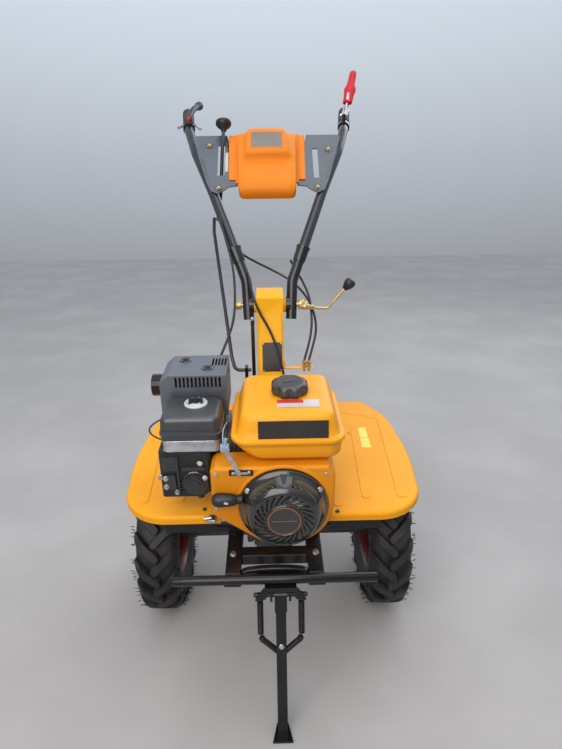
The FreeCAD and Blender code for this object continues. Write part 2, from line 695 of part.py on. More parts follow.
spring_length, spring_wire = size("spring_length"), 2
for name, sign in SIDES:
    top = Vector(sign * size("spring_side"), 0, 0)
    coil = Part.makeCylinder(size("spring_radius"), spring_length - 16, top + Z_AXIS * (8 - spring_length))
    eye = Part.makeCylinder(pin_radius + 4, 2 * spring_wire, top - X_AXIS * spring_wire, X_AXIS)
    eye = eye.cut(Part.makeCylinder(pin_radius + size("seat_gap"), 3 * spring_wire, top - X_AXIS * 3, X_AXIS))
    hook = Part.makeCylinder(spring_wire, 11, top - Z_AXIS * (spring_length + 2))
    spring = coil.multiFuse([eye, hook])
    spring.Placement = Placement(pin, leg_turn)
    node(feature(spring), "stand_spring_" + name)

# Fenders: pressed panels over the wheels with turned-down edges and raised beads, on flat stays

fender_top, fender_lip, fender_sheet = size("fender_top"), size("fender_lip"), size("fender_sheet")


def fender_outline(inset, z):
    inner, outer = size("fender_inner") + inset, size("fender_outer") - inset
    front, back = size("fender_front") + inset, size("fender_back") - inset
    points = [Vector(inner, front, z), Vector(outer - 110, front, z), Vector(outer - 8, front + 120, z),
              Vector(outer - 8, back - 190, z), Vector(outer - 80, back, z), Vector(inner, back, z)]
    edges = [Part.LineSegment(points[0], points[1]),
             Part.Arc(points[1], Vector(outer - 36, front + 36, z), points[2]),
             Part.Arc(points[2], Vector(outer, (front + back) / 2 - 20, z), points[3]),
             Part.Arc(points[3], Vector(outer - 34, back - 70, z), points[4]),
             Part.LineSegment(points[4], points[5]),
             Part.LineSegment(points[5], points[0])]
    return Part.Face(Part.Wire([edge.toShape() for edge in edges]))


BEADS = [
    # side at its front end, front end, length
    (size("fender_inner") + 18, -205, 150),
    (size("fender_inner") + 86, -178, 320),
    (size("fender_outer") - 67, -178, 355),
]
bead_width, bead_height, bead_slant = size("fender_bead_width"), size("fender_bead_height"), 3.0


def bead_shape(side, front, length):
    """A raised strip with round ends, slanting out towards the back."""
    bar = block((-bead_width / 2, 0, 0), (bead_width / 2, length, bead_height))
    ends = [Part.makeCylinder(bead_width / 2, bead_height, Vector(0, y, 0)) for y in (0, length)]
    strip = bar.multiFuse(ends)
    strip.Placement = Placement(Vector(side + bead_width / 2, front, fender_top), Rotation(Z_AXIS, -bead_slant))
    return strip


def fender_shape():
    shell = fender_outline(0, fender_top - fender_lip).extrude(Z_AXIS * fender_lip)
    shell = rounded(shell, 9, lambda e: e.BoundBox.ZMin > fender_top - 0.1)
    inside = fender_outline(fender_sheet, fender_top - fender_lip - 1).extrude(Z_AXIS * (fender_lip + 1 - fender_sheet))
    shell = shell.cut(rounded(inside, 7, lambda e: e.BoundBox.ZMin > fender_top - fender_sheet - 0.1))
    return shell.multiFuse([bead_shape(*bead) for bead in BEADS])


fender = fender_shape()
stay_depth, stay_y = 5, size("fender_front") + 11
rail_outer = (rail_spacing + rail_width) / 2
front_stay = block((rail_outer - 17, stay_y, base_z), (240, stay_y + stay_depth, base_z + 14))
front_stay = front_stay.fuse(block((size("fender_inner") + 10, stay_y, base_z),
                                   (240, stay_y + stay_depth, fender_top - fender_sheet)))
stay_top = fender_top - fender_lip
rear_stay = block((size("gearbox_width") / 2, 84, stay_top - 4), (size("gearbox_width") / 2 + 192, 110, stay_top))
for name, sign in SIDES:
    node(feature(mirrored(fender, sign)), "fender_" + name)
for name, stay in (("fender_stays_front", front_stay), ("fender_stays_rear", rear_stay)):
    node(feature(Part.makeCompound([mirrored(stay, sign) for _, sign in SIDES])), name)

# Handle column on the gearbox, with the pivot that lets the handlebars tilt

column, draw = drawn_body("handle_column")
pivot = Vector(0, size("pivot_back"), size("pivot_height"))
column_front = pivot.y - 38
column_back = column_front + size("column_wall_depth")
column_side = [
    # back from the axle, up
    (24, case_top), (118, case_top), (118, case_top + 12), (104, case_top + 20),
    (column_back - 2, pivot.z - 18), (column_back, pivot.z + size("column_head") - 12),
    (column_back - 14, pivot.z + size("column_head")), (column_front + 10, pivot.z + size("column_head")),
    (column_front, pivot.z + size("column_head") - 14), (column_front, pivot.z - 20), (44, case_top + 20),
    (24, case_top + 12),
]
column_pad = pad(column, draw("YZ_Plane", outline(column_side)), "Size.column_width", midplane=True)
fillet(column, column_pad, 7, lambda e: e.BoundBox.ZLength > 80 and e.BoundBox.XLength < 0.1)
pad(column, draw("YZ_Plane", ring(pivot.y, pivot.z, 19)), "Size.column_width + 14", midplane=True)
pin_bore = size("pivot_bolt_radius") + size("running_gap") / 4
bore = column.newObject("PartDesign::Pocket", "Pocket")
bore.Profile = draw("YZ_Plane", ring(pivot.y, pivot.z, pin_bore))
bore.Type = 1
bore.Midplane = True
doc.recompute()
node(column, "handle_column")

bolt_right, bolt_left = -74, 90
pivot_bolt = primitive("Cylinder", (bolt_right, pivot.y, pivot.z), ALONG_X, Radius="Size.pivot_bolt_radius",
                       Height=bolt_left - bolt_right)
bolt_head = primitive("Cylinder", (bolt_right - 9, pivot.y, pivot.z), ALONG_X, Radius="11", Height="10")
node(fuse(pivot_bolt, bolt_head), "pivot_bolt")


def pivot_hole(shape, low, high):
    """Bore a piece for the pivot bolt."""
    return shape.cut(Part.makeCylinder(pin_bore, high - low, pivot + X_AXIS * low, X_AXIS))


clamp = rod([pivot + Vector(*p) for p in ((78, -16, 0), (144, -16, -7), (188, -16, 44))], [26], 4)
clamp = clamp.fuse(Part.makeCylinder(13, 14, pivot + X_AXIS * 73, X_AXIS))
clamp = clamp.fuse(block(pivot + Vector(74, -26, -5), pivot + Vector(82, -6, 5)))
clamp = pivot_hole(clamp, 60, 100)
node(feature(clamp), "clamp_lever")
clamp_knob = turned_about(Z_AXIS, [(-15, 0), (-15, 6), (-6, 15), (6, 15), (14, 8), (16, 0)])
clamp_knob.Placement = Placement(pivot + Vector(197, -16, 54), Rotation(Z_AXIS, Vector(44, 0, 51)))
node(feature(clamp_knob.cut(clamp)), "clamp_knob")

# Handlebars: two bent tubes joined by the dash box and its bracket plates

tube = size("tube_radius")
BAR_BENDS = [
    # side, back and up from the pivot
    (54, -14, -34), (58, 18, 56), (86, 58, 126), (147, 200, 253), (200, 320, 346), (226, 410, 402), (246, 570, 450),
]
BAR_RADII = [60, 60, 200, 200, 120]


def bar_bend(index, sign):
    side, back, up = BAR_BENDS[index]
    return pivot + Vector(sign * side, back, up)


def bar_end(sign, along):
    """A point on the straight end of a handlebar, and the end's direction."""
    direction = (bar_bend(-1, sign) - bar_bend(-2, sign)).normalize()
    return bar_bend(-2, sign) + direction * along, direction


for name, sign in SIDES:
    bar = rod([bar_bend(index, sign) for index in range(len(BAR_BENDS))], BAR_RADII, tube, tube - size("tube_wall"))
    lug_side = sign * 46.5
    bar = bar.fuse(Part.makeCylinder(20, 12, pivot + X_AXIS * (lug_side - 6), X_AXIS))
    bar = pivot_hole(bar, lug_side - 28, lug_side + 28)
    node(feature(bar), "handlebar_" + name)
    tube_end, direction = bar_end(sign, (bar_bend(-1, sign) - bar_bend(-2, sign)).Length)
    start = tube_end - direction * (size("grip_length") - 6)
    grip = Part.makeCylinder(size("grip_radius"), size("grip_length"), start, direction)
    grip = grip.cut(Part.makeCylinder(tube, size("grip_length") - 6, start, direction))
    node(feature(grip), "grip_" + name)

# Bracket plates and the dash box lie on the handlebars' sloping run

slope = (bar_bend(4, 0) - bar_bend(3, 0))
slope.x = 0
slope = slope.normalize()
normal = Vector(0, -slope.z, slope.y)
PLATE = [
    # side, up the slope
    (208, 194), (190, 120), (164, 22), (152, -10), (134, -20), (118, -10), (104, 4), (80, 8), (80, 34), (101, 34),
    (101, 150), (112, 204), (200, 204),
]
PLATE_SLOTS = {"left": [(126, 34), (141, 34), (141, 148), (126, 148)],
               "right": [(104, 46), (136, 46), (136, 164), (104, 164)]}


def on_slope(points, sign=1, lift=0.0, side=0.0):
    """A flat face on the handlebars' slope, its points given as side and up from the lower bolts."""
    start = bar_bend(3, 0) - X_AXIS * bar_bend(3, 0).x
    return polygon([start + X_AXIS * (sign * a + side) + slope * b + normal * lift for a, b in points])


plate_wall = size("plate_thickness")
for name, sign in SIDES:
    plate = on_slope(PLATE, sign, tube).extrude(normal * plate_wall)
    gate = on_slope(PLATE_SLOTS[name], sign, tube - 1).extrude(normal * (plate_wall + 2))
    node(feature(plate.cut(gate)), "bracket_plate_" + name)

dash_seat, dash_side = tube + plate_wall + size("seat_gap"), size("dash_side")
dash_flange = on_slope([(-105, 26), (105, 26), (110, 200), (-110, 200)], 1, dash_seat, dash_side)
HOOD_SIDE = [
    # up the slope, out from the flange: the lower bulge, the step under the label, the upper hood
    (-26, 0), (-38, 6), (-43, 13), (-40, 25), (-20, 33), (60, 36), (72, 46), (160, 46), (178, 35), (192, 22), (200, 0),
]
HOOD_FRONT = [(60, -46), (74, -30), (77, 60), (81, 140), (80, 172), (68, 204)]
hood_start = bar_bend(3, 0) + normal * dash_seat
hood_start.x = dash_side - 90
hood = polygon([hood_start + slope * a + normal * b for a, b in HOOD_SIDE]).extrude(X_AXIS * 180)
hood = rounded(hood, 4, lambda e: e.BoundBox.XLength > 179 and (e.CenterOfMass - hood_start).dot(normal) > 5)
hood_front = HOOD_FRONT + [(-a, b) for a, b in reversed(HOOD_FRONT)]
hood = hood.common(on_slope(hood_front, 1, dash_seat - 1, dash_side).extrude(normal * (size("dash_depth") + 20)))
node(feature(dash_flange.extrude(normal * 3).fuse(hood)), "dash_box")

# Levers: clutch lever and throttle lever clamped on the tube ends, gear lever through its gate


def clamp_ring(sign, along):
    """A split ring on the straight end of a handlebar, with an ear on top."""
    centre, direction = bar_end(sign, along)
    ring_solid = Part.makeCylinder(tube + 4, 20, centre, direction)
    ear = block(centre + Vector(-6, 0, 4), centre + Vector(6, 20, 38))
    return ring_solid.fuse(ear).cut(Part.makeCylinder(tube, 40, centre - direction * 10, direction))


def from_pivot(points):
    return [pivot + Vector(*point) for point in points]


lever = rod(from_pivot([(230, 436, 440), (240, 472, 462), (262, 540, 538)]), [20], 5)
sleeve_start, sleeve_end = from_pivot([(249, 498, 491), (271, 566, 567)])
sleeve_axis = sleeve_end - sleeve_start
sleeve = Part.makeCylinder(10, sleeve_axis.Length, sleeve_start, sleeve_axis)
node(feature(lever.multiFuse([sleeve, clamp_ring(1, 20)])), "clutch_lever")
left_lever = rod(from_pivot([(-229, 440, 438), (-220, 490, 462), (-206, 550, 474)]), [20], 5)
node(feature(left_lever.fuse(clamp_ring(-1, 20))), "throttle_grip")

gear_points = from_pivot([(-137.5, 190, 183), (-128, 245, 260), (-124, 290, 350), (-120, 333, 408)])
gear = rod(gear_points, [60, 60], 5)
knob_radius = size("gear_knob_radius")
gear_knob = turned_about(Z_AXIS, [(-16, 0), (-16, 7), (-8, knob_radius - 3), (6, knob_radius), (14, knob_radius - 6),
                                  (17, 0)])
gear_knob.Placement = Placement(pivot + Vector(-120, 338, 419), Rotation(X_AXIS, -25))
node(feature(gear.fuse(gear_knob)), "gear_lever")

# Shift rod from the gear lever down to the arm on the gearbox, and the selector rod beside the column

shift_radius = size("shift_rod_radius")
arm_pin = Vector(-62, 80, case_top + 95)
eye_side = -147.5
shift = rod([pivot + Vector(eye_side, 195, 188), pivot + Vector(eye_side, 170.3, 156.9), arm_pin + Vector(-38, 20, 30),
             arm_pin + Vector(-29, 0, 0), arm_pin + Vector(12, 0, 0)], [60, 60, 16], shift_radius)
node(feature(shift), "shift_rod")
arm = block(arm_pin + Vector(-4, -11, -122), arm_pin + Vector(4, 11, 10))
arm = arm.fuse(Part.makeCylinder(12, 11.7, arm_pin + Vector(-6, 0, -122), X_AXIS))
arm = arm.cut(Part.makeCylinder(shift_radius + size("running_gap") / 4, 30, arm_pin - X_AXIS * 13, X_AXIS))
node(feature(arm), "shift_arm")
selector_at, selector_top = Vector(-44, 100, case_top), 212
selector = block(selector_at + Vector(-4.5, -3, 0), selector_at + Vector(4.5, 3, selector_top))
selector = selector.fuse(Part.makeCylinder(5, 12, selector_at + Z_AXIS * (selector_top - 2)))
node(feature(selector), "selector_rod")

# Control cables along their routes, and the bracket on the column where two of them end

stop = block((size("column_width") / 2, 87, 436), (size("column_width") / 2 + 74, 97, 460))
node(feature(stop), "cable_stop")

CABLES = {
    "cable_throttle": [(-124.7, 266.2, 786.8), (-112, 225, 751), (-90, 164, 690), (-84, 105, 635), (-86, 55, 585),
                       (-102, 20, 545), (-124, 2, 500), (-134, 0, 455), (-142, -4, 415), (-154, -34, 399),
                       (-163, -78, 396), (-166, -125, 388), (-167, -171.7, 386)],
    "cable_clutch": [(-86, 230.4, 716), (-60, 238, 694), (-30, 241, 677), (0, 240, 662), (30, 235, 647),
                     (62, 224, 630), (96, 196, 600), (116, 162, 562), (119, 128, 526), (108, 104, 492),
                     (98, 92, 461.3)],
    "cable_brake": [(55, 202.5, 692), (68, 203, 666), (86, 190, 640), (102, 168, 606), (107, 144, 568),
                    (106, 124, 534), (98, 104, 498), (86, 92, 461.3)],
    "cable_shift": [(-54.2, 166, 669.6), (-48, 138, 648), (-40, 111, 620), (-27, 101, 586), (-6, 98, 550),
                    (10, 86, 515), (22, 72, 478), (31, 60, 440), (38, 52, 400), (42, 50, 345.3)],
}
BEND_SHARE = 0.45


def bend_radii(points):
    """Each bend as large as the shorter of its two runs allows."""
    corners = [Vector(*point) for point in points]
    radii = []
    for before, corner, after in zip(corners, corners[1:], corners[2:]):
        back, ahead = corner - before, after - corner
        turn = back.getAngle(ahead)
        radii.append(BEND_SHARE * min(back.Length, ahead.Length) / math.tan(turn / 2))
    return radii


for name, points in CABLES.items():
    radii = bend_radii(points)
    cable = rod(points, radii, size("cable_radius"))
    print(name, "length", round(route(points, radii).Length), "bends from", round(min(radii)))
    node(feature(cable), name)

# Drawbar socket behind the gearbox for tools and a trailer

hitch_front, hitch_low, hitch_side = 72, 40, size("hitch_width") / 2
hitch_back, wall = hitch_front + 6 + size("hitch_reach"), size("hitch_wall")
hitch_high, mount_plate = hitch_low + size("hitch_width"), 8
hitch = block((-hitch_side, hitch_front + 6, hitch_low), (hitch_side, hitch_back, hitch_high))
hitch = hitch.cut(block((wall - hitch_side, hitch_front + 12, hitch_low + wall),
                        (hitch_side - wall, hitch_back + 1, hitch_high - wall)))
hitch = hitch.fuse(block((-40, hitch_front, hitch_low - 16), (40, hitch_front + mount_plate, hitch_high + 18)))
pin_y = hitch_back - 32
hitch = hitch.cut(Part.makeCylinder(size("hitch_pin_radius"), 80, Vector(0, pin_y, hitch_low - 10)))
node(feature(hitch), "hitch_socket")

# Every piece parked: nose down about the axle, standing on the ground

doc.recompute()
nose = Rotation(X_AXIS, size("nose_down"))
parked = Placement(Z_AXIS * size("wheel_radius"), nose)
for piece in nodes:
    piece.Placement = parked.multiply(piece.Placement)
doc.recompute()
low_y = min(piece.Shape.BoundBox.YMin for piece in nodes)
high_y = max(piece.Shape.BoundBox.YMax for piece in nodes)
centred = Placement(Y_AXIS * -(low_y + high_y) / 2, Rotation())
for piece in nodes:
    piece.Placement = centred.multiply(piece.Placement)
doc.recompute()

failed = [item.Name for item in doc.Objects if "Invalid" in item.State or "Error" in item.State]
failed += [piece.Label for piece in nodes if piece.Shape.isNull() or not piece.Shape.isValid()]
if failed:
    raise RuntimeError("not built: " + ", ".join(failed))
os.makedirs("parts", exist_ok=True)
for piece in nodes:
    piece.Shape.exportStep("parts/" + piece.Label + ".step")
print(len(nodes), "pieces; shift along Y", round(-(low_y + high_y) / 2, 3))
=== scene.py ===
import json
import math
import random
import bpy
from mathutils import Matrix, Vector

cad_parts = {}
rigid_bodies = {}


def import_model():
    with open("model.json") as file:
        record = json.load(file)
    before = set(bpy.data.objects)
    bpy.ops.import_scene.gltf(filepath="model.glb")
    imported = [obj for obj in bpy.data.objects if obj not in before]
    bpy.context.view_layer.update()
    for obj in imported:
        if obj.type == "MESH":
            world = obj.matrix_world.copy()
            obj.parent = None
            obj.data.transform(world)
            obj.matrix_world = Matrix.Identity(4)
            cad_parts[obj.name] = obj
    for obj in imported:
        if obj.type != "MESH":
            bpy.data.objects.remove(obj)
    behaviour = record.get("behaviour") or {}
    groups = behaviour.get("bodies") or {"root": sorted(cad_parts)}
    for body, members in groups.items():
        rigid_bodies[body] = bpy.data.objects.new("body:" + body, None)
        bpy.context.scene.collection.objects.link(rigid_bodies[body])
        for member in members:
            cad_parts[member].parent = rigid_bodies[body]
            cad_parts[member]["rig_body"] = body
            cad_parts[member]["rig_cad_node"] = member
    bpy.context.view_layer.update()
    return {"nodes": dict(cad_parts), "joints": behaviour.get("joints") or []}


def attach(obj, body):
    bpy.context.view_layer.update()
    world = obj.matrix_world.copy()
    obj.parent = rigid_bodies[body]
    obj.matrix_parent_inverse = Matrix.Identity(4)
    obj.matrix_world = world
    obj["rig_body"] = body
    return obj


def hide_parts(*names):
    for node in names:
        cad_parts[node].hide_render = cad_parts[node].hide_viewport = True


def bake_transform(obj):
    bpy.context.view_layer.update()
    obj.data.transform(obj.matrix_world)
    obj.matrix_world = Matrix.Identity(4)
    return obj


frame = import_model()
scene = bpy.context.scene
scene.view_settings.view_transform = "Standard"

# The machine is drawn level, in metres, with zero on the wheel axle, and then parked as the frame
# has it: turned nose down about the axle, which is where the wheels' joints say.

nose_down = math.radians(5.0)
joint_at = {joint["name"]: Vector(joint["pos_m"]) for joint in frame["joints"]}
axle = Vector((0, joint_at["left_wheel_spin"].y, joint_at["left_wheel_spin"].z))
parked = Matrix.Translation(axle) @ Matrix.Rotation(nose_down, 4, "X")
wheel_side = joint_at["left_wheel_spin"].x
SIDES = (("left", 1), ("right", -1))

# Camera where the photograph was taken: chest height, close in front, looking down at the engine.

camera_place = Vector((0.0245, -1.275, 1.1))
camera_pitch, camera_roll, machine_turn = math.radians(19.6), math.radians(0.7), math.radians(1.1)
photo_width, focal_pixels, film_width = 562, 545.0, 36.0
bpy.ops.object.camera_add()
camera = bpy.context.object
camera.name = "photo_camera"
camera.data.sensor_fit = "HORIZONTAL"
camera.data.sensor_width = film_width
camera.data.lens = focal_pixels / photo_width * film_width
camera.matrix_world = (Matrix.Translation(Vector((0, axle.y, 0))) @ Matrix.Rotation(-machine_turn, 4, "Z")
                       @ Matrix.Translation(camera_place) @ Matrix.Rotation(math.pi / 2 - camera_pitch, 4, "X")
                       @ Matrix.Rotation(-camera_roll, 4, "Z"))
scene.camera = camera

# Plain pale concrete floor under a soft overcast sky: broad lamps above the front, the back and the top.
# A finish is a paint or metal whose colour, gloss and bump vary a little through noise on the piece itself.


def finish(name, colour, worn, rough, metal=0.0, spread=14.0, grain=240.0, bump=0.05, coat=0.0, ior=1.5,
           slot=None):
    """Two shades of one colour in soft patches, with uneven gloss and a fine surface grain."""
    paint = bpy.data.materials.new(name)
    paint.use_nodes = True
    paint["slot"] = slot or name
    tree = paint.node_tree
    shader = tree.nodes["Principled BSDF"]
    shader.inputs["Metallic"].default_value = metal
    shader.inputs["IOR"].default_value = ior
    shader.inputs["Coat Weight"].default_value = coat
    shader.inputs["Coat Roughness"].default_value = 0.12
    place = tree.nodes.new("ShaderNodeTexCoord")
    patches, fine = [tree.nodes.new("ShaderNodeTexNoise") for _ in range(2)]
    for noise, scale in ((patches, spread), (fine, grain)):
        noise.inputs["Scale"].default_value = scale
        noise.inputs["Detail"].default_value = 5.0
        tree.links.new(place.outputs["Object"], noise.inputs["Vector"])
    shades = tree.nodes.new("ShaderNodeValToRGB")
    shades.color_ramp.elements[0].position, shades.color_ramp.elements[1].position = 0.42, 0.66
    shades.color_ramp.elements[0].color, shades.color_ramp.elements[1].color = (*colour, 1), (*worn, 1)
    gloss = tree.nodes.new("ShaderNodeMapRange")
    gloss.inputs["To Min"].default_value, gloss.inputs["To Max"].default_value = rough
    relief = tree.nodes.new("ShaderNodeBump")
    relief.inputs["Strength"].default_value = bump
    relief.inputs["Distance"].default_value = 0.001
    tree.links.new(patches.outputs["Fac"], shades.inputs["Fac"])
    tree.links.new(shades.outputs["Color"], shader.inputs["Base Color"])
    tree.links.new(patches.outputs["Fac"], gloss.inputs["Value"])
    tree.links.new(gloss.outputs["Result"], shader.inputs["Roughness"])
    tree.links.new(fine.outputs["Fac"], relief.inputs["Height"])
    tree.links.new(relief.outputs["Normal"], shader.inputs["Normal"])
    return paint


bpy.ops.mesh.primitive_plane_add(size=14)
floor = bpy.context.object
floor.name = "floor"
concrete = finish("concrete", (0.40, 0.385, 0.375), (0.45, 0.435, 0.425), (0.8, 0.95), spread=2.4, grain=90, bump=0.2)
tree = concrete.node_tree
# Light bounced off the floor takes a darker colour than the floor shows to the camera and in reflections: painted shade
# on the machine's undersides.
bounce_shade_mix = tree.nodes.new("ShaderNodeMix")
bounce_shade_mix.data_type = "RGBA"
bounce_shade_mix.inputs["A"].default_value = (0.19, 0.18, 0.175, 1)
ray = tree.nodes.new("ShaderNodeLightPath")
mirrored, seen = [tree.nodes.new("ShaderNodeMath") for _ in range(2)]
tree.links.new(ray.outputs["Is Glossy Ray"], mirrored.inputs[0])
tree.links.new(ray.outputs["Is Transmission Ray"], mirrored.inputs[1])
tree.links.new(mirrored.outputs["Value"], seen.inputs[0])
tree.links.new(ray.outputs["Is Camera Ray"], seen.inputs[1])
tree.links.new(seen.outputs["Value"], bounce_shade_mix.inputs["Factor"])
tree.links.new(tree.nodes["Color Ramp"].outputs["Color"], bounce_shade_mix.inputs["B"])
tree.links.new(bounce_shade_mix.outputs["Result"], tree.nodes["Principled BSDF"].inputs["Base Color"])
floor.data.materials.append(concrete)

LAMPS = [
    # name, place, aim, size, watts, colour
    ("sky_front", (-0.8, -2.6, 2.2), (0, 0, 0.5), 2.6, 72, (1.0, 0.93, 0.85)),
    ("sky_back", (1.6, 2.4, 2.8), (0, 0, 0.7), 2.2, 26, (1.0, 1.0, 1.0)),
    ("sky_top", (0.2, -0.2, 3.6), (0, 0, 0.5), 2.0, 18, (0.95, 0.98, 1.0)),
]
for name, place, target, width, watts, colour in LAMPS:
    bpy.ops.object.light_add(type="AREA", location=place)
    lamp = bpy.context.object
    lamp.name = name
    lamp.data.size = width
    lamp.data.energy = watts
    lamp.data.color = colour
    lamp.rotation_euler = (Vector(target) - Vector(place)).to_track_quat("-Z", "Y").to_euler()
world = bpy.data.worlds.new("overcast")
world.use_nodes = True
tree = world.node_tree
sky = tree.nodes["Background"]
sky.inputs["Strength"].default_value = 0.8
direction = tree.nodes.new("ShaderNodeTexCoord")
height = tree.nodes.new("ShaderNodeVectorMath")
height.operation = "DOT_PRODUCT"
height.inputs[1].default_value = (0, 0.30, 0.95)
clouds = tree.nodes.new("ShaderNodeValToRGB")
SKY = [
    # height, counted more behind the machine than in front of it, and colour
    (0.00, (0.34, 0.355, 0.37, 1)), (0.15, (0.40, 0.42, 0.45, 1)), (0.32, (0.57, 0.62, 0.69, 1)),
    (0.60, (0.92, 1.00, 1.12, 1)), (1.00, (0.95, 1.00, 1.10, 1)),
]
for position, colour in SKY[1:-1]:
    clouds.color_ramp.elements.new(position)
for element, (position, colour) in zip(clouds.color_ramp.elements, SKY):
    element.position, element.color = position, colour
tree.links.new(direction.outputs["Generated"], height.inputs[0])
tree.links.new(height.outputs["Value"], clouds.inputs["Fac"])
tree.links.new(clouds.outputs["Color"], sky.inputs["Color"])
scene.world = world

# Tyres: black moulded rubber with two rows of slanted lugs, a round carcass and the moulding's rubber hairs.
# The carcass is an outline spun about the axle; one lug is shaped on a grid and copied round the tread.

tyre_rubber = finish("tyre_rubber", (0.013, 0.013, 0.016), (0.036, 0.033, 0.032), (0.42, 0.8), spread=22,
                     grain=420, bump=0.25)


def alone(piece):
    """Select one piece and nothing else."""
    bpy.ops.object.select_all(action="DESELECT")
    piece.select_set(True)
    bpy.context.view_layer.objects.active = piece
    return piece


def aimed(place, axis, roll="Y"):
    """The place and turn of a piece whose own Z points along an axis."""
    turn = Vector(axis).to_track_quat("Z", roll).to_matrix().to_4x4()
    return Matrix.Translation(Vector(place)) @ turn


def turned(profile, place=(0, 0, 0), axis=(0, 0, 1), steps=40, smooth=35):
    """A round piece: a closed outline of (along, radius) pairs spun about its axis."""
    bpy.ops.object.select_all(action="DESELECT")
    bpy.ops.mesh.primitive_circle_add(vertices=len(profile), radius=1)
    piece = bpy.context.object
    for vertex, (along, radius) in zip(piece.data.vertices, profile):
        vertex.co = (radius, 0, along)
    bpy.ops.object.mode_set(mode="EDIT")
    bpy.ops.mesh.select_all(action="SELECT")
    bpy.ops.mesh.spin(steps=steps, angle=2 * math.pi, center=(0, 0, 0), axis=(0, 0, 1))
    bpy.ops.mesh.select_all(action="SELECT")
    bpy.ops.mesh.remove_doubles(threshold=0.000001)
    bpy.ops.mesh.delete_loose(use_faces=False)
    bpy.ops.mesh.select_all(action="SELECT")
    bpy.ops.mesh.normals_make_consistent(inside=False)
    bpy.ops.object.mode_set(mode="OBJECT")
    bpy.ops.object.shade_smooth_by_angle(angle=math.radians(smooth))
    piece.matrix_world = aimed(place, axis)
    return piece


def joined(pieces):
    """Several meshes made one."""
    bpy.ops.object.select_all(action="DESELECT")
    for piece in pieces:
        piece.select_set(True)
    bpy.context.view_layer.objects.active = pieces[0]
    bpy.ops.object.join()
    return bpy.context.object


def copied(template, turns):
    """Copies of a small piece, one for each placing matrix, joined in one mesh."""
    made = []
    for turn in turns:
        alone(template)
        bpy.ops.object.duplicate()
        bpy.context.object.matrix_world = turn @ template.matrix_world
        made.append(bpy.context.object)
    bpy.data.objects.remove(template)
    return joined(made)


def settle(piece, name, body, paint, *stands_for, level=True):
    """Park a finished piece with the machine, paint it, and let it ride on its body."""
    piece.name = name
    if level:
        piece.matrix_world = parked @ piece.matrix_world
    alone(piece)
    bpy.ops.object.transform_apply(location=True, rotation=True, scale=True)
    piece.data.materials.clear()
    piece.data.materials.append(paint)
    if body:
        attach(piece, body)
    if stands_for:
        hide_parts(*stands_for)
    return piece


tyre_radius, tread_radius, tyre_half, bead_radius = 0.200, 0.181, 0.0535, 0.1063
carcass_half = [(0.0376, bead_radius), (0.0425, 0.112), (0.0470, 0.123), (0.0478, 0.1235), (0.0505, 0.136),
                (0.0518, 0.148), (0.0508, 0.160), (0.0465, 0.170), (0.0370, 0.1765), (0.0200, 0.180)]
carcass = carcass_half + [(0, tread_radius)] + [(-a, b) for a, b in reversed(carcass_half)]
lug_count, lug_turn, lug_half = 18, math.radians(42), 0.0098
LUG_STATIONS = [
    # along the lug from the tread's middle, share of its full width
    (-0.0100, 0.05), (-0.0094, 0.45), (-0.0075, 0.76), (-0.0040, 0.95), (0.0010, 1.0), (0.0120, 0.96), (0.0240, 0.92),
    (0.0360, 0.96), (0.0480, 1.04), (0.0580, 1.12), (0.0680, 1.2), (0.0760, 1.24),
]
LUG_ACROSS = [
    # share of the half width, height above the carcass as a share of the lug's
    (-1.22, 0.0), (-1.0, 0.88), (-0.82, 0.995), (0.0, 1.0), (0.82, 0.995), (1.0, 0.88), (1.22, 0.0),
]


def carcass_height(side):
    """The carcass's radius at a distance from the tyre's middle."""
    for (a, b), (c, d) in zip(carcass_half[::-1], carcass_half[-2::-1]):
        if a <= side <= c:
            return b + (d - b) * (side - a) / (c - a)
    return carcass_half[-1][1] if side < carcass_half[-1][0] else 0.150


def lug_height(side):
    """The lug's top: flat on the tread, rounded off over the shoulder."""
    drop = max(0.0, (side - 0.030) / (tyre_half - 0.030))
    return tyre_radius - 0.0003 - 0.030 * drop ** 2.2


def lug_mesh():
    bpy.ops.object.select_all(action="DESELECT")
    columns, rows = len(LUG_STATIONS), len(LUG_ACROSS)
    bpy.ops.mesh.primitive_grid_add(x_subdivisions=columns - 1, y_subdivisions=rows - 1, size=2)
    lug = bpy.context.object
    for vertex in lug.data.vertices:
        along, swell = LUG_STATIONS[round((vertex.co.x + 1) / 2 * (columns - 1))]
        across, rise = LUG_ACROSS[round((vertex.co.y + 1) / 2 * (rows - 1))]
        reach = across * lug_half * swell
        side = along * math.cos(lug_turn) - reach * math.sin(lug_turn)
        round_the_tyre = along * math.sin(lug_turn) + reach * math.cos(lug_turn)
        side = min(side, tyre_half - 0.0004 * (1 + abs(across)))
        foot = carcass_height(abs(side)) - 0.002
        rise *= 0.0 if swell < 0.1 else 1.0
        radius = foot + (max(lug_height(abs(side)), foot) - foot) * rise
        angle = round_the_tyre / tread_radius
        vertex.co = (side, radius * math.sin(angle), radius * math.cos(angle))
    bpy.ops.object.mode_set(mode="EDIT")
    bpy.ops.mesh.select_all(action="DESELECT")
    bpy.ops.mesh.select_non_manifold()
    bpy.ops.mesh.edge_face_add()
    bpy.ops.mesh.select_all(action="SELECT")
    bpy.ops.mesh.normals_make_consistent(inside=False)
    bpy.ops.object.mode_set(mode="OBJECT")
    bpy.ops.object.shade_smooth_by_angle(angle=math.radians(32))
    return lug


def hair_mesh(length):
    """One rubber hair, a thin tapered spike that points along Z."""
    bpy.ops.object.select_all(action="DESELECT")
    bpy.ops.mesh.primitive_cone_add(vertices=4, radius1=0.0015, radius2=0.0007, depth=length, location=(0, 0, length / 2))
    bpy.ops.object.transform_apply(location=True, rotation=False, scale=False)
    return bpy.context.object


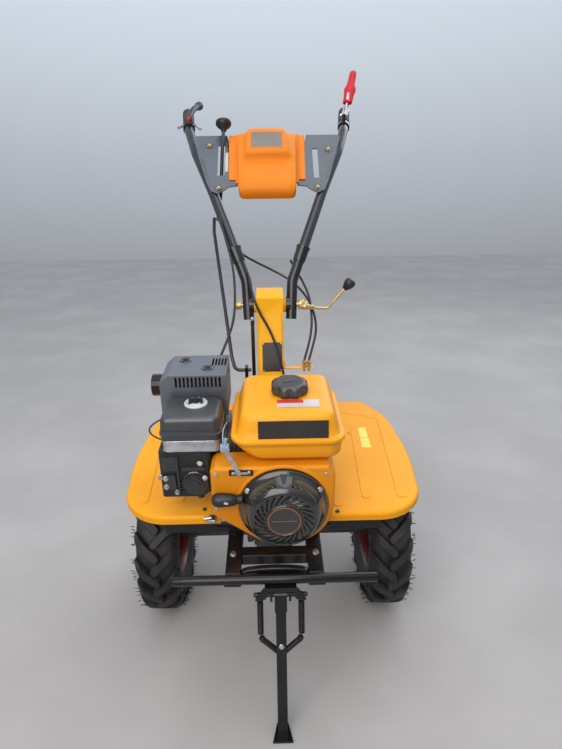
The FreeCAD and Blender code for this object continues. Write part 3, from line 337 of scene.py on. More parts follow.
HAIR_ROWS = ((0.178, 0.0490), (0.189, 0.0478), (0.165, 0.0510), (0.184, 0.0485), (0.193, 0.0465), (0.172, 0.0500))
for name, sign in SIDES:
    seed = random.Random(name)
    carcass_piece = turned(carcass, (0, 0, 0), (1, 0, 0), steps=108)
    lugs, hairs = [], []
    for index in range(lug_count):
        for facing, stagger in ((1, 0.0), (-1, 0.5)):
            angle = (index + stagger) * 2 * math.pi / lug_count
            lugs.append(Matrix.Rotation(angle, 4, "X") @ Matrix.Diagonal((facing, 1, 1, 1)))
            for radius, side in HAIR_ROWS:
                turn = Matrix.Rotation(angle + seed.uniform(-0.12, 0.2), 4, "X")
                place = Vector((facing * side, 0, radius + seed.uniform(-0.004, 0.004)))
                axis = Vector((facing, seed.uniform(-0.35, 0.35), seed.uniform(-0.1, 0.3)))
                hairs.append(turn @ aimed(place, axis) @ Matrix.Scale(seed.uniform(0.7, 1.0), 4))
    lug_ring = copied(lug_mesh(), lugs)
    alone(lug_ring)
    bpy.ops.object.mode_set(mode="EDIT")
    bpy.ops.mesh.select_all(action="SELECT")
    bpy.ops.mesh.normals_make_consistent(inside=False)
    bpy.ops.object.mode_set(mode="OBJECT")
    tyre = joined([carcass_piece, lug_ring])
    tyre.matrix_world = Matrix.Translation((sign * wheel_side, 0, 0)) @ tyre.matrix_world
    settle(tyre, "lugged_tyre_" + name, name + "_wheel", tyre_rubber, "tyre_" + name)
    hair_ring = copied(hair_mesh(0.0105), hairs)
    hair_ring.matrix_world = Matrix.Translation((sign * wheel_side, 0, 0)) @ hair_ring.matrix_world
    settle(hair_ring, "rubber_hairs_" + name, name + "_wheel", tyre_rubber)

# Rims and hubs: a pressed barrel and a dished disc in red enamel, its dark red partly its own and partly painted shade,
# bolted to a bright hub that slides on the gearbox's shaft. The rim is one outline spun about the axle, the hub a
# softened copy of its solid.

# The rim's dark red is partly the enamel's own colour and partly painted shade from inside the wheel.
red_rim = finish("red_rim", (0.13, 0.012, 0.009), (0.08, 0.008, 0.007), (0.30, 0.50), coat=0.3)
bright_steel = finish("bright_steel", (0.62, 0.62, 0.61), (0.46, 0.46, 0.45), (0.22, 0.42), metal=1.0, spread=60)
hub_paint = finish("hub_paint", (0.045, 0.043, 0.045), (0.09, 0.08, 0.07), (0.35, 0.6), slot="bright_steel")
rim_outline = [
    (-0.0410, 0.1120), (-0.0405, 0.1155), (-0.0385, 0.1160), (-0.0375, 0.1140), (-0.0370, 0.1070), (-0.0340, 0.1052),
    (-0.0150, 0.1046), (-0.0110, 0.0995), (0.0080, 0.0995), (0.0120, 0.1046), (0.0340, 0.1052), (0.0370, 0.1070),
    (0.0375, 0.1140), (0.0385, 0.1160), (0.0405, 0.1155), (0.0410, 0.1120), (0.0400, 0.1055), (0.0345, 0.1024),
    (0.0135, 0.1015), (0.0095, 0.0965), (0.0070, 0.0940), (0.0070, 0.0800), (0.0030, 0.0700), (0.0030, 0.0198),
    (0.0000, 0.0198), (0.0000, 0.0715), (0.0035, 0.0810), (0.0035, 0.0950), (-0.0105, 0.0965), (-0.0145, 0.1015),
    (-0.0345, 0.1024), (-0.0400, 0.1055),
]


def solid_copy(*solids):
    """A copy of one or more solids of the frame as one clean mesh, its flat faces whole again."""
    bpy.ops.object.select_all(action="DESELECT")
    for solid in solids:
        frame["nodes"][solid].select_set(True)
    bpy.context.view_layer.objects.active = frame["nodes"][solids[0]]
    bpy.ops.object.duplicate()
    bpy.ops.object.parent_clear(type="CLEAR_KEEP_TRANSFORM")
    if len(solids) > 1:
        bpy.ops.object.join()
    piece = bpy.context.object
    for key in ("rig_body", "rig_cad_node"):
        del piece[key]
    bpy.ops.object.mode_set(mode="EDIT")
    bpy.ops.mesh.select_all(action="SELECT")
    bpy.ops.mesh.remove_doubles(threshold=0.00001)
    bpy.ops.mesh.dissolve_limited(angle_limit=math.radians(1.0))
    bpy.ops.object.mode_set(mode="OBJECT")
    bpy.ops.mesh.customdata_custom_splitnormals_clear()
    return piece


def soften(piece, width=0.0008, segments=2, angle=32):
    """Round a piece's edges a little and shade its curves smooth."""
    alone(piece)
    bpy.ops.object.modifier_add(type="BEVEL")
    edge = piece.modifiers[-1]
    edge.width = width
    edge.segments = segments
    edge.limit_method = "ANGLE"
    edge.angle_limit = math.radians(angle)
    bpy.ops.object.modifier_apply(modifier=edge.name)
    bpy.ops.object.shade_smooth_by_angle(angle=math.radians(angle))
    bpy.ops.object.modifier_add(type="WEIGHTED_NORMAL")
    piece.modifiers[-1].keep_sharp = True
    bpy.ops.object.modifier_apply(modifier=piece.modifiers[-1].name)
    return piece


def dress(solid, name, body, paint, width=0.0008, segments=2, angle=32):
    """A softened copy of a solid stands for it."""
    return settle(soften(solid_copy(solid), width, segments, angle), name, body, paint, solid, level=False)


def hex_bolt(size, height):
    """A hexagon head with softened edges on a round washer, pointing along Z."""
    washer = turned([(0, 0), (0, size * 1.45), (size * 0.22, size * 1.45), (size * 0.3, size * 1.35), (size * 0.3, 0)],
                    steps=20)
    bpy.ops.mesh.primitive_cylinder_add(vertices=6, radius=size * 1.12, depth=height, location=(0, 0, size * 0.3 + height / 2))
    head = bpy.context.object
    bpy.ops.object.transform_apply(location=True, rotation=False, scale=False)
    soften(head, size * 0.12, 2, 20)
    return joined([washer, head])


def bolts(name, body, places, size=0.0055, height=0.004, paint=None, level=True):
    """Bolt heads at (place, direction) pairs, as one mesh."""
    heads = copied(hex_bolt(size, height), [aimed(place, axis) for place, axis in places])
    return settle(heads, name, body, paint or bright_steel, level=level)


hub_bolt_circle, hub_face = 0.044, 0.0032
for name, sign in SIDES:
    rim = turned(rim_outline, (sign * wheel_side, 0, 0), (sign, 0, 0), steps=72)
    settle(rim, "pressed_rim_" + name, name + "_wheel", red_rim, "rim_" + name)
    dress("hub_" + name, "axle_hub_" + name, name + "_wheel", hub_paint)
    heads = []
    for index in range(4):
        angle = math.pi / 4 + index * math.pi / 2
        place = Vector((sign * (wheel_side + hub_face), hub_bolt_circle * math.cos(angle), hub_bolt_circle * math.sin(angle)))
        heads.append((place, (sign, 0, 0)))
    bolts("wheel_bolts_" + name, name + "_wheel", heads, 0.0085, 0.007)
    valve_outline = [(0, 0), (0, 0.0055), (0.004, 0.0052), (0.006, 0.0030), (0.022, 0.0028), (0.0225, 0.0036),
                     (0.031, 0.0034), (0.032, 0)]
    valve = turned(valve_outline, (sign * (wheel_side + 0.0065), 0, 0.087), (sign, 0, 0.12), steps=14)
    settle(valve, "valve_stem_" + name, name + "_wheel", tyre_rubber)
    clip = turned([(0, 0), (0, 0.004), (0.054, 0.004), (0.056, 0)], (sign * (wheel_side - 0.075), 0, -0.027), (0, 0, 1), steps=12)
    settle(clip, "shaft_pin_" + name, name + "_wheel", bright_steel)

# Gearbox, clutch housing and drawbar socket: grey-painted castings with rough skins, bolted together.
# They are softened copies of the solids, with cover discs, ribs, plugs and bolt heads set on their faces.

cast_case = finish("cast_case", (0.060, 0.060, 0.064), (0.105, 0.100, 0.095), (0.5, 0.75), spread=26, grain=520, bump=0.45)


def level_box(solid):
    """A solid's lowest and highest corners in the level frame."""
    places = [parked.inverted() @ vertex.co for vertex in frame["nodes"][solid].data.vertices]
    return [Vector([pick(place[axis] for place in places) for axis in range(3)]) for pick in (min, max)]


def chunk(low, high, width=0.0008, taper=0.0):
    """A box between two corners with softened edges, its upper face drawn in by a taper."""
    bpy.ops.object.select_all(action="DESELECT")
    bpy.ops.mesh.primitive_cube_add(size=1)
    piece = bpy.context.object
    low, high = Vector(low), Vector(high)
    for vertex in piece.data.vertices:
        share = 1 - taper if vertex.co.z > 0 else 1
        spot = Vector((vertex.co.x * share, vertex.co.y * share, vertex.co.z))
        vertex.co = (low + high) / 2 + Vector([spot[i] * (high[i] - low[i]) for i in range(3)])
    return soften(piece, width)


def disc(radius, height, place, axis, edge=0.001, steps=40):
    """A flat round cover with a chamfered rim, standing on a face."""
    return turned([(0, 0), (0, radius), (height - edge, radius), (height, radius - edge), (height, 0)], place, axis, steps)


case_low, case_high = level_box("gearbox")
case_half, case_front, case_back = 0.048, 0.015, 0.125
dress("gearbox", "gearbox_case", "root", cast_case, 0.002, 3)
trim, heads = [], []
for name, sign in SIDES:
    trim.append(disc(0.046, 0.005, (sign * case_half, 0, 0), (sign, 0, 0)))
    trim.append(disc(0.030, 0.004, (sign * (case_half + 0.008), 0.070, 0.2895), (sign, 0, 0)))
    trim.append(chunk((sign * case_half - 0.0015, 0.020, 0.135), (sign * case_half + 0.0015, 0.118, 0.141)))
    for index in range(6):
        angle = index * math.pi / 3 + 0.3
        heads.append(((sign * (case_half + 0.005), 0.0405 * math.cos(angle), 0.0405 * math.sin(angle)), (sign, 0, 0)))
        heads.append(((sign * (case_half + 0.012), 0.070 + 0.0245 * math.cos(angle), 0.2895 + 0.0245 * math.sin(angle)),
                      (sign, 0, 0)))
    for y, z in ((0.026, 0.335), (0.115, 0.335), (0.115, 0.205), (0.060, 0.135), (-0.046, 0.100)):
        heads.append(((sign * case_half, y, z), (sign, 0, 0)))
heads.append(((0, -0.0565, 0.020), (0, -1, -0.2)))
heads.append(((0.028, case_back, 0.255), (0, 1, 0)))
heads += [((x, 0.040, case_high.z - 0.0003), (0, 0, 1)) for x in (-0.040, 0.040)]
settle(joined(trim), "gearbox_covers", "root", cast_case)
bolts("gearbox_bolts", "root", heads, 0.005, 0.004)

bell_side, bell_height = 0.021, 0.2895
bell = turned([(-0.064, 0), (-0.064, 0.084), (-0.056, 0.084), (-0.054, 0.0815), (-0.034, 0.0790), (-0.010, 0.0740),
               (0.008, 0.0665), (0.015, 0.0655), (0.015, 0)], (bell_side, 0, bell_height), (0, 1, 0), 56)
ribs, heads = [bell], []
for index in range(8):
    angle = (index + 0.5) * math.pi / 4
    out = Vector((math.cos(angle), 0, math.sin(angle)))
    rib = chunk((-0.0025, -0.056, 0.060), (0.0025, 0.012, 0.0785), 0.0008)
    rib.matrix_world = Matrix.Translation((bell_side, 0, bell_height)) @ Matrix.Rotation(math.pi / 2 - angle, 4, "Y")
    ribs.append(rib)
    heads.append((Vector((bell_side, -0.0555, bell_height)) + out * 0.0795, (0, 1, 0)))
settle(joined(ribs), "clutch_bell", "root", cast_case, "clutch_housing")
bolts("clutch_bolts", "root", heads, 0.004, 0.004)

dress("hitch_socket", "drawbar_socket", "root", cast_case, 0.0015, 3)
socket_low, socket_high = level_box("hitch_socket")
bolts("drawbar_bolts", "root", [((x, socket_low.y + 0.008, z), (0, 1, 0)) for x in (-0.033, 0.033)
                                for z in (socket_low.z + 0.007, socket_high.z - 0.009)], 0.0055, 0.005)

# Rails, cross member, arched band, bumper and stays: bent steel in glossy black enamel, held by bright bolts.
# Softened copies of the solids; the band is made again with its arch rolled over, the bumper with closed ends.

black_paint = finish("black_paint", (0.006, 0.006, 0.007), (0.013, 0.012, 0.012), (0.12, 0.30), spread=9, grain=160,
                     bump=0.03, coat=0.15, ior=1.38)
for name, sign in SIDES:
    dress("rail_" + name, "engine_rail_" + name, "root", black_paint, 0.0022, 3)
dress("cross_member", "cross_bar", "root", black_paint, 0.0015, 3)
rail_top, rail_side, rail_front = 0.1835, 0.085, -0.356
bolts("rail_bolts", "root", [((sign * 0.087, y, rail_top), (0, 0, 1)) for _, sign in SIDES for y in (-0.300, -0.046)],
      0.0052, 0.0035)

band_front, band_back, band_half = rail_front + 0.006, rail_front + 0.020, 0.069
band_points = [(-band_half, -0.020), (-band_half, -0.004), (-0.055, 0.0015), (-0.030, 0.0048), (0, 0.006), (0.030, 0.0048),
               (0.055, 0.0015), (band_half, -0.004), (band_half, -0.020)]


def pressed(points, depth, width=0.0008, segments=2, angle=32):
    """A flat piece: an outline of (across, up) pairs in its own plane, drawn out along Z by its thickness."""
    bpy.ops.object.select_all(action="DESELECT")
    bpy.ops.mesh.primitive_circle_add(vertices=len(points), radius=1, fill_type="NGON")
    piece = bpy.context.object
    for vertex, (across, up) in zip(piece.data.vertices, points):
        vertex.co = (across, up, 0)
    bpy.ops.object.mode_set(mode="EDIT")
    bpy.ops.mesh.select_all(action="SELECT")
    bpy.ops.mesh.extrude_region_move(TRANSFORM_OT_translate={"value": (0, 0, depth)})
    bpy.ops.mesh.select_all(action="SELECT")
    bpy.ops.mesh.normals_make_consistent(inside=False)
    bpy.ops.object.mode_set(mode="OBJECT")
    return soften(piece, width, segments, angle)


upright = Matrix(((1, 0, 0, 0), (0, 0, -1, 0), (0, 1, 0, 0), (0, 0, 0, 1)))
band = pressed(band_points, 0.014, 0.0035, 4, 40)
band.matrix_world = Matrix.Translation((0, band_back, rail_top)) @ upright
settle(band, "arched_band", "root", black_paint, "front_band")

bumper_height, bumper_radius, bumper_half = rail_top - 0.006, 0.010, 0.206
bumper_y = rail_front - bumper_radius
end = bumper_half - 0.003
bumper = turned([(-bumper_half, 0), (-bumper_half, 0.0085), (-end, bumper_radius), (end, bumper_radius),
                 (bumper_half, 0.0085), (bumper_half, 0)], (0, bumper_y, bumper_height), (1, 0, 0), 32)
settle(bumper, "bumper_tube", "root", black_paint, "bumper_bar")
saddles = []
for _, sign in SIDES:
    saddles.append(chunk((sign * 0.085 - 0.019, rail_front - 0.0195, rail_top - 0.018),
                         (sign * 0.085 + 0.019, rail_front + 0.004, rail_top - 0.0005), 0.004, 0.25))
settle(joined(saddles), "bumper_saddles", "root", black_paint)
dress("fender_stays_front", "front_stays", "root", black_paint, 0.001)
dress("fender_stays_rear", "rear_stays", "root", black_paint, 0.001)

# Front stand: a black flat-topped bracket with two ears, a square leg with horn wings and a flared foot,
# and two close-wound springs hooked from the bracket's pin to the wings. The coils are wound wire.

leg_pin = Vector((0.011, bumper_y - 0.006, bumper_height - 0.036))
dress("stand_bracket", "stand_mount", "root", black_paint, 0.001)
mount_plate = pressed([(-0.049, -0.0015), (-0.052, -0.010), (-0.044, -0.012), (-0.030, -0.006), (-0.024, 0.012), (0.024, 0.012),
                       (0.030, -0.006), (0.044, -0.012), (0.052, -0.010), (0.049, -0.0015), (0.034, 0.022), (-0.034, 0.022)],
                      0.004, 0.0008)
mount_plate.matrix_world = Matrix.Translation((leg_pin.x, leg_pin.y - 0.0075, leg_pin.z + 0.005)) @ upright
settle(mount_plate, "stand_ears", "root", black_paint)
dress("stand_leg", "stand_tube", "stand", black_paint, 0.0012)


def bent(points, radius, order=3, sides=6, cyclic=False):
    """A round bar or wire that follows points along one smooth line."""
    curve = bpy.data.curves.new("wire", "CURVE")
    curve.dimensions = "3D"
    spline = curve.splines.new("NURBS")
    spline.points.add(len(points) - 1)
    for point, place in zip(spline.points, points):
        point.co = (*place, 1)
    spline.order_u = order
    spline.use_endpoint_u = not cyclic
    spline.use_cyclic_u = cyclic
    curve.bevel_depth = radius
    curve.bevel_resolution = sides
    curve.use_fill_caps = True
    piece = bpy.data.objects.new("wire", curve)
    scene.collection.objects.link(piece)
    alone(piece)
    bpy.ops.object.convert(target="MESH")
    piece = bpy.context.object
    bpy.ops.object.shade_smooth_by_angle(angle=math.radians(40))
    return piece


leg_foot = Vector((leg_pin.x, leg_pin.y - 0.090, 0))
leg_foot.z = -(0.200 + leg_foot.y * math.sin(nose_down)) / math.cos(nose_down)
leg_turn = Matrix.Translation(leg_pin) @ (leg_pin - leg_foot).to_track_quat("Z", "X").to_matrix().to_4x4()
leg_across = (leg_pin - leg_foot).normalized().cross(Vector((0, -1, 0))).normalized()
leg_turn = Matrix.Translation(leg_pin) @ Matrix.Rotation(math.atan2(leg_pin.y - leg_foot.y, leg_pin.z - leg_foot.z) * -1, 4, "X")
coil_radius, wire_radius, coil_turns, coil_high, coil_low = 0.0058, 0.0011, 30, -0.012, -0.084
springs, hooks = [], []
for _, sign in SIDES:
    points = []
    for step in range(coil_turns * 8 + 1):
        angle = step * math.pi / 4
        drop = coil_high + (coil_low - coil_high) * step / (coil_turns * 8)
        points.append((sign * 0.042 + coil_radius * math.cos(angle), coil_radius * math.sin(angle), drop))
    springs.append(bent(points, wire_radius, sides=1))
    springs.append(bent([(sign * 0.042, -0.0075, 0.001), (sign * 0.042, 0, 0.0075), (sign * 0.042, 0.0075, 0),
                         (sign * 0.042, 0.0068, -0.008), (sign * 0.042, 0, -0.013)], wire_radius, sides=2))
    springs.append(bent([(sign * 0.042, 0, -0.083), (sign * 0.042, 0.002, -0.090), (sign * 0.0415, 0.001, -0.098)],
                        wire_radius, sides=2))
    hooks.append(((sign * 0.0375, 0, -0.0995), (sign * 0.5, 0, 1)))
spring_piece = joined(springs)
spring_piece.matrix_world = leg_turn @ spring_piece.matrix_world
settle(spring_piece, "stand_coil_springs", "stand", black_paint, "stand_spring_left", "stand_spring_right")
wing_pins = copied(turned([(0, 0), (0, 0.0065), (0.007, 0.0065), (0.009, 0.004), (0.009, 0)], steps=16),
                   [aimed(place, axis) for place, axis in hooks])
wing_pins.matrix_world = leg_turn @ wing_pins.matrix_world
settle(wing_pins, "stand_wing_pins", "stand", black_paint)
leg_bolts = copied(hex_bolt(0.0038, 0.003), [leg_turn @ aimed((0, -0.0080, -0.110), (0, -1, 0))])
settle(leg_bolts, "stand_leg_bolt", "stand", bright_steel)
bolts("stand_pin_bolt", "root", [(leg_pin + Vector((side * 0.0505, 0, 0)), (side, 0, 0)) for side in (-1, 1)], 0.004, 0.003,
      black_paint)

# Fenders: pressed sheet in orange-yellow enamel with raised beads, screwed to the stays. Softened copies of
# the solids, a rolled bead along the crease near the back, and a blank pale sticker where the real one has signs.

yellow_paint = finish("yellow_paint", (0.90, 0.365, 0.012), (0.94, 0.405, 0.016), (0.36, 0.50), spread=5, grain=150,
                      bump=0.03, ior=1.28)
for name, sign in SIDES:
    dress("fender_" + name, "fender_panel_" + name, "root", yellow_paint, 0.0009, 2, 25)
fender_top = 0.236
up = (0, 0, 1)
bolts("fender_screws", "root", [((0.140, -0.233, fender_top - 0.0002), up), ((-0.152, -0.216, fender_top - 0.0002), up)],
      0.0036, 0.0026, hub_paint)
rear_screws = [((sign * x, 0.099, fender_top - 0.0002), up) for _, sign in SIDES for x in (0.139, 0.210)]
bolts("rear_fender_screws", "root", rear_screws, 0.0034, 0.0020, yellow_paint)
for name, sign in SIDES:
    crease = bent([(sign * x, y, fender_top - 0.0006) for x, y in ((0.125, 0.211), (0.191, 0.2105), (0.229, 0.208), (0.262, 0.197),
                                                                 (0.292, 0.176), (0.326, 0.160))], 0.0015, sides=3)
    settle(crease, "fender_crease_" + name, "root", yellow_paint)
hinge_clamp = joined([chunk((-0.1420, -0.2600, fender_top - 0.004), (-0.1240, -0.2380, fender_top + 0.0050), 0.002, 0.15),
                      turned([(0, 0), (0, 0.0045), (0.016, 0.0045), (0.017, 0.003), (0.017, 0)],
                             (-0.1500, -0.2500, fender_top + 0.002), (1, 0, 0.1), 20)])
settle(hinge_clamp, "stay_clip", "root", bright_steel)
sticker_paint = finish("sticker_paint", (0.86, 0.74, 0.10), (0.80, 0.70, 0.12), (0.3, 0.5), slot="yellow_paint")
halves = []
for low, high in ((0.0230, 0.0725), (0.0745, 0.1265)):
    half = pressed([(0.2190, low), (0.2595, low), (0.2595, high), (0.2190, high)], 0.0005, 0.0001)
    half.matrix_world = Matrix.Translation((0, 0, fender_top))
    halves.append(half)
settle(joined(halves), "fender_sticker", "root", sticker_paint)

# Engine block and rocker cover: bare die-cast aluminium with cooling fins, and a black pressed cover on its head.
# Softened copies of the solids, with the spark plug, its boot, the drain plug and the foot's bolts added.

cast_aluminium = finish("cast_aluminium", (0.37, 0.37, 0.365), (0.31, 0.31, 0.305), (0.42, 0.54), metal=0.7, spread=70,
                        grain=600, bump=0.4)
moulded_black = finish("moulded_black", (0.012, 0.015, 0.020), (0.020, 0.024, 0.031), (0.34, 0.46), spread=18, grain=800,
                       bump=0.08, ior=1.85, slot="black_plastic")
black_plastic = finish("black_plastic", (0.010, 0.011, 0.012), (0.018, 0.019, 0.021), (0.30, 0.46), spread=16, grain=700,
                       bump=0.12)
dress("engine_block", "engine_castings", "root", cast_aluminium, 0.0007)
dress("rocker_cover", "valve_cover", "root", black_paint, 0.001)
crank = Vector((0.021, 0, 0.2895))
engine_foot_top, engine_back, shroud_back, shroud_front = 0.1955, -0.064, -0.218, -0.278
lean = Matrix.Rotation(math.radians(15), 4, "Y")


def on_cylinder(reach, back, drop):
    """A point on the leaning cylinder: out from the crank, forward of the engine's back, below the axis."""
    return crank + lean @ Vector((-reach, 0, -drop)) + Vector((0, engine_back - back, 0))


away = (lean @ Vector((-1, 0, 0))).normalized()
cover_bolts = [(on_cylinder(0.2005, 0.050 + 0.034 * a, 0.034 * b), away) for a in (-1, 1) for b in (-1, 1)]
bolts("valve_cover_bolts", "root", cover_bolts, 0.0038, 0.004)
bolts("engine_foot_bolts", "root", [((x, y, engine_foot_top), (0, 0, 1)) for x in (-0.085, 0.085) for y in (-0.188, -0.100)],
      0.0055, 0.005)
plug = turned([(0, 0), (0, 0.0085), (0.006, 0.0085), (0.007, 0.0055), (0.012, 0.0055), (0.013, 0.0085), (0.036, 0.0075),
               (0.044, 0.0060), (0.045, 0)], on_cylinder(0.154, 0.088, -0.030), (-0.25, -0.85, 0.35), 20)
settle(plug, "spark_plug_boot", "root", black_plastic)
lead = bent([on_cylinder(0.165, 0.126, -0.046), on_cylinder(0.168, 0.146, -0.056), (-0.120, -0.205, 0.383),
             (-0.100, -0.214, 0.388), (-0.086, -0.212, 0.384)], 0.0034, sides=3)
settle(lead, "ignition_lead", "root", black_plastic)
wall = 0.103
wall_trim = [chunk((wall - 0.0005, -0.205, z), (wall + 0.0030, -0.080, z + 0.0035), 0.001) for z in
             (0.247, 0.273, 0.299, 0.325, 0.351)]
wall_trim.append(chunk((wall - 0.0005, -0.0755, 0.200), (wall + 0.0045, -0.0645, 0.380), 0.0012))
wall_trim.append(disc(0.0165, 0.004, (wall - 0.0005, -0.103, 0.222), (1, 0, 0)))
wall_trim.append(disc(0.0120, 0.003, (wall - 0.0005, -0.180, 0.222), (1, 0, 0)))
settle(joined(wall_trim), "crankcase_ribs", "root", cast_aluminium)
bolts("crankcase_bolts", "root", [((wall + 0.0043, -0.070, z), (1, 0, 0)) for z in (0.212, 0.262, 0.316, 0.368)], 0.0042, 0.004)
bolts("crankcase_plug", "root", [((wall + 0.0023, -0.180, 0.222), (1, 0, 0))], 0.0075, 0.006)
filler = turned([(0, 0), (0, 0.0135), (0.005, 0.0135), (0.007, 0.0105), (0.017, 0.0100), (0.019, 0.0080), (0.019, 0)],
                (wall + 0.0030, -0.103, 0.222), (1, 0, 0), 24)
settle(filler, "oil_filler", "root", black_plastic)

# Fan shroud: pressed steel in the same enamel, painted as a darker, more orange copy of it for painted shade on its
# front, a softened copy of the solid with a raised lip round the starter, the switch plate with its blank silver bar, a
# slanted vent on the shoulder and its screws.

# A darker, more orange copy of the yellow enamel: painted shade on the cowl.
shaded_shroud_paint = finish("shaded_shroud_paint", (0.74, 0.26, 0.008), (0.78, 0.285, 0.010), (0.26, 0.42), spread=7, grain=150, bump=0.03,
                      coat=0.1, ior=1.3, slot="yellow_paint")
dress("fan_shroud", "fan_cowl", "root", shaded_shroud_paint, 0.0012, 3, 25)
starter = Vector((crank.x, shroud_front, crank.z))
forward = (0, -1, 0)
lip = turned([(-0.001, 0.0930), (0.0022, 0.0935), (0.0030, 0.0955), (0.0022, 0.0985), (-0.001, 0.1010)], starter, forward, 96)
settle(lip, "cowl_lip", "root", shaded_shroud_paint)


def stadium(half_length, half_height, count=8):
    """An outline with round ends, as (across, up) pairs."""
    points = []
    for centre, start in ((half_length - half_height, -math.pi / 2), (half_height - half_length, math.pi / 2)):
        points += [(centre + half_height * math.cos(start + step * math.pi / count),
                    half_height * math.sin(start + step * math.pi / count)) for step in range(count + 1)]
    return points


def facing(place, tilt=0.0, lean_back=0.0):
    """The place and turn of a flat piece whose outline is seen from the front."""
    return Matrix.Translation(Vector(place)) @ Matrix.Rotation(tilt, 4, "Y") @ Matrix.Rotation(lean_back, 4, "X") @ upright


plate_at, plate_tilt = Vector((-0.0640, shroud_front, 0.3745)), math.radians(2)
plate = pressed([(-0.0245, -0.0070), (0.0245, -0.0070), (0.0245, 0.0070), (-0.0245, 0.0070)], 0.0022, 0.0015)
plate.matrix_world = facing(plate_at, plate_tilt)
settle(plate, "switch_plate", "root", black_plastic)
bar = pressed(stadium(0.0185, 0.0026), 0.0012, 0.0004)
bar.matrix_world = facing(plate_at + Vector((0, -0.0020, 0)), plate_tilt)
rivets = copied(turned([(0, 0), (0, 0.0042), (0.0014, 0.0036), (0.0024, 0.0016), (0.0026, 0)], steps=16),
                [aimed(plate_at + Vector((x, -0.0020, z)), forward) for x, z in ((-0.0160, -0.0008), (0.0160, 0.0008))])
settle(joined([bar, rivets]), "switch_bar", "root", bright_steel)
vents = []
for step in range(3):
    slit = pressed(stadium(0.0105, 0.0016), 0.0012, 0.0003)
    slit.matrix_world = (Matrix.Translation((0.1272, -0.232 - 0.011 * step, 0.342)) @ Matrix.Rotation(math.radians(-70), 4, "X")
                         @ Matrix.Rotation(math.pi / 2, 4, "Y") @ Matrix.Rotation(math.pi / 2, 4, "Z"))
    vents.append(slit)
settle(joined(vents), "cowl_vents", "root", black_plastic)
cowl_screws = [((-0.118, shroud_front, 0.285), forward), ((0.108, shroud_front + 0.0005, 0.366), forward),
               ((-0.115, shroud_front, 0.3705), forward)]
bolts("cowl_screws", "root", cowl_screws, 0.0030, 0.0022)

# Recoil starter: a drawn steel dome in glossy black with long vents on its upper flank and a ring of spiral louvres,
# the flywheel's fan seen through them, three bright screws, and a plain black disc with a thin copper ring.

starter_rim, starter_depth, louvre_count, columns_each = 0.0925, 0.046, 24, 5
around = louvre_count * columns_each
DOME = [
    # out from the cowl, radius, turn of the ring in degrees
    (0.0000, 0.0925, 0), (0.0060, 0.0925, 0), (0.0085, 0.0915, 0), (0.0100, 0.0890, 0), (0.0125, 0.0855, 0),
    (0.0165, 0.0835, 0), (0.0290, 0.0775, 0), (0.0360, 0.0735, 0), (0.0420, 0.0690, 0), (0.0450, 0.0640, 0),
    (0.0460, 0.0600, 0), (0.0462, 0.0530, 7), (0.0462, 0.0460, 15), (0.0460, 0.0400, 24), (0.0462, 0.0380, 24),
    (0.0482, 0.0372, 24), (0.0488, 0.0362, 24),
]
flank_rows, louvre_rows = (5, 6), (10, 11, 12)
bpy.ops.object.select_all(action="DESELECT")
bpy.ops.mesh.primitive_grid_add(x_subdivisions=around, y_subdivisions=len(DOME) - 1, size=2)
dome = bpy.context.object
place_in_dome = {}
for vertex in dome.data.vertices:
    column = round((vertex.co.x + 1) / 2 * around) % around
    row = round((vertex.co.y + 1) / 2 * (len(DOME) - 1))
    out, radius, twist = DOME[row]
    lifted = 0.0016 if row in (11, 12) and column % columns_each == 2 else 0.0
    angle = math.radians(twist) + 2 * math.pi * column / around
    vertex.co = (radius * math.cos(angle), radius * math.sin(angle), out + lifted)
    place_in_dome[vertex.index] = (column, row)
LONG_VENTS = ((24, 78), (102, 156), (200, 236), (304, 340))
bpy.ops.object.mode_set(mode="EDIT")
bpy.ops.mesh.select_mode(type="FACE")
bpy.ops.mesh.select_all(action="DESELECT")
bpy.ops.object.mode_set(mode="OBJECT")
for face in dome.data.polygons:
    columns, rows = zip(*[place_in_dome[index] for index in face.vertices])
    row, column = min(rows), min(columns) if max(columns) - min(columns) < 2 else around - 1
    degrees = (column + 0.5) * 360 / around
    long_vent = row in flank_rows and any(start < degrees < end for start, end in LONG_VENTS)
    face.select = long_vent or (row in louvre_rows and column % columns_each in (0, 1))
bpy.ops.object.mode_set(mode="EDIT")
bpy.ops.mesh.delete(type="FACE")
bpy.ops.mesh.select_mode(type="VERT")
bpy.ops.mesh.select_all(action="SELECT")
bpy.ops.mesh.remove_doubles(threshold=0.000001)
bpy.ops.mesh.normals_make_consistent(inside=False)
bpy.ops.object.mode_set(mode="OBJECT")
bpy.ops.object.modifier_add(type="SOLIDIFY")
dome.modifiers[-1].thickness = 0.0022
dome.modifiers[-1].offset = -1
bpy.ops.object.modifier_apply(modifier=dome.modifiers[-1].name)
soften(dome, 0.0005, 1, 38)
dome.matrix_world = aimed(starter, forward, "Y")
disc_piece = turned([(0.044, 0), (0.044, 0.0375), (0.0486, 0.0373), (0.0494, 0.0362), (0.0494, 0.0352), (0.0488, 0.0346),
                     (0.0488, 0)], starter, forward, 72)
notch = pressed([(-0.0075, 0.011), (0.0075, 0.011), (0.0025, -0.010), (-0.0025, -0.010)], 0.003, 0.001)
notch.matrix_world = facing(starter + Vector((0, -0.0205, 0.0800)), 0, math.radians(-62))
starter_black = finish("starter_black", (0.010, 0.010, 0.011), (0.018, 0.018, 0.019), (0.14, 0.28), coat=0.8,
                       spread=12, slot="black_paint")
settle(notch, "starter_notch", "root", black_plastic)
settle(joined([dome, disc_piece]), "starter_dome", "root", starter_black, "recoil_cover")
fan_parts = [turned([(0.004, 0), (0.004, 0.082), (0.008, 0.082), (0.012, 0.060), (0.012, 0)], starter, forward, 48)]
blade = chunk((0.030, -0.0012, 0.008), (0.0700, 0.0012, 0.036), 0.0004)
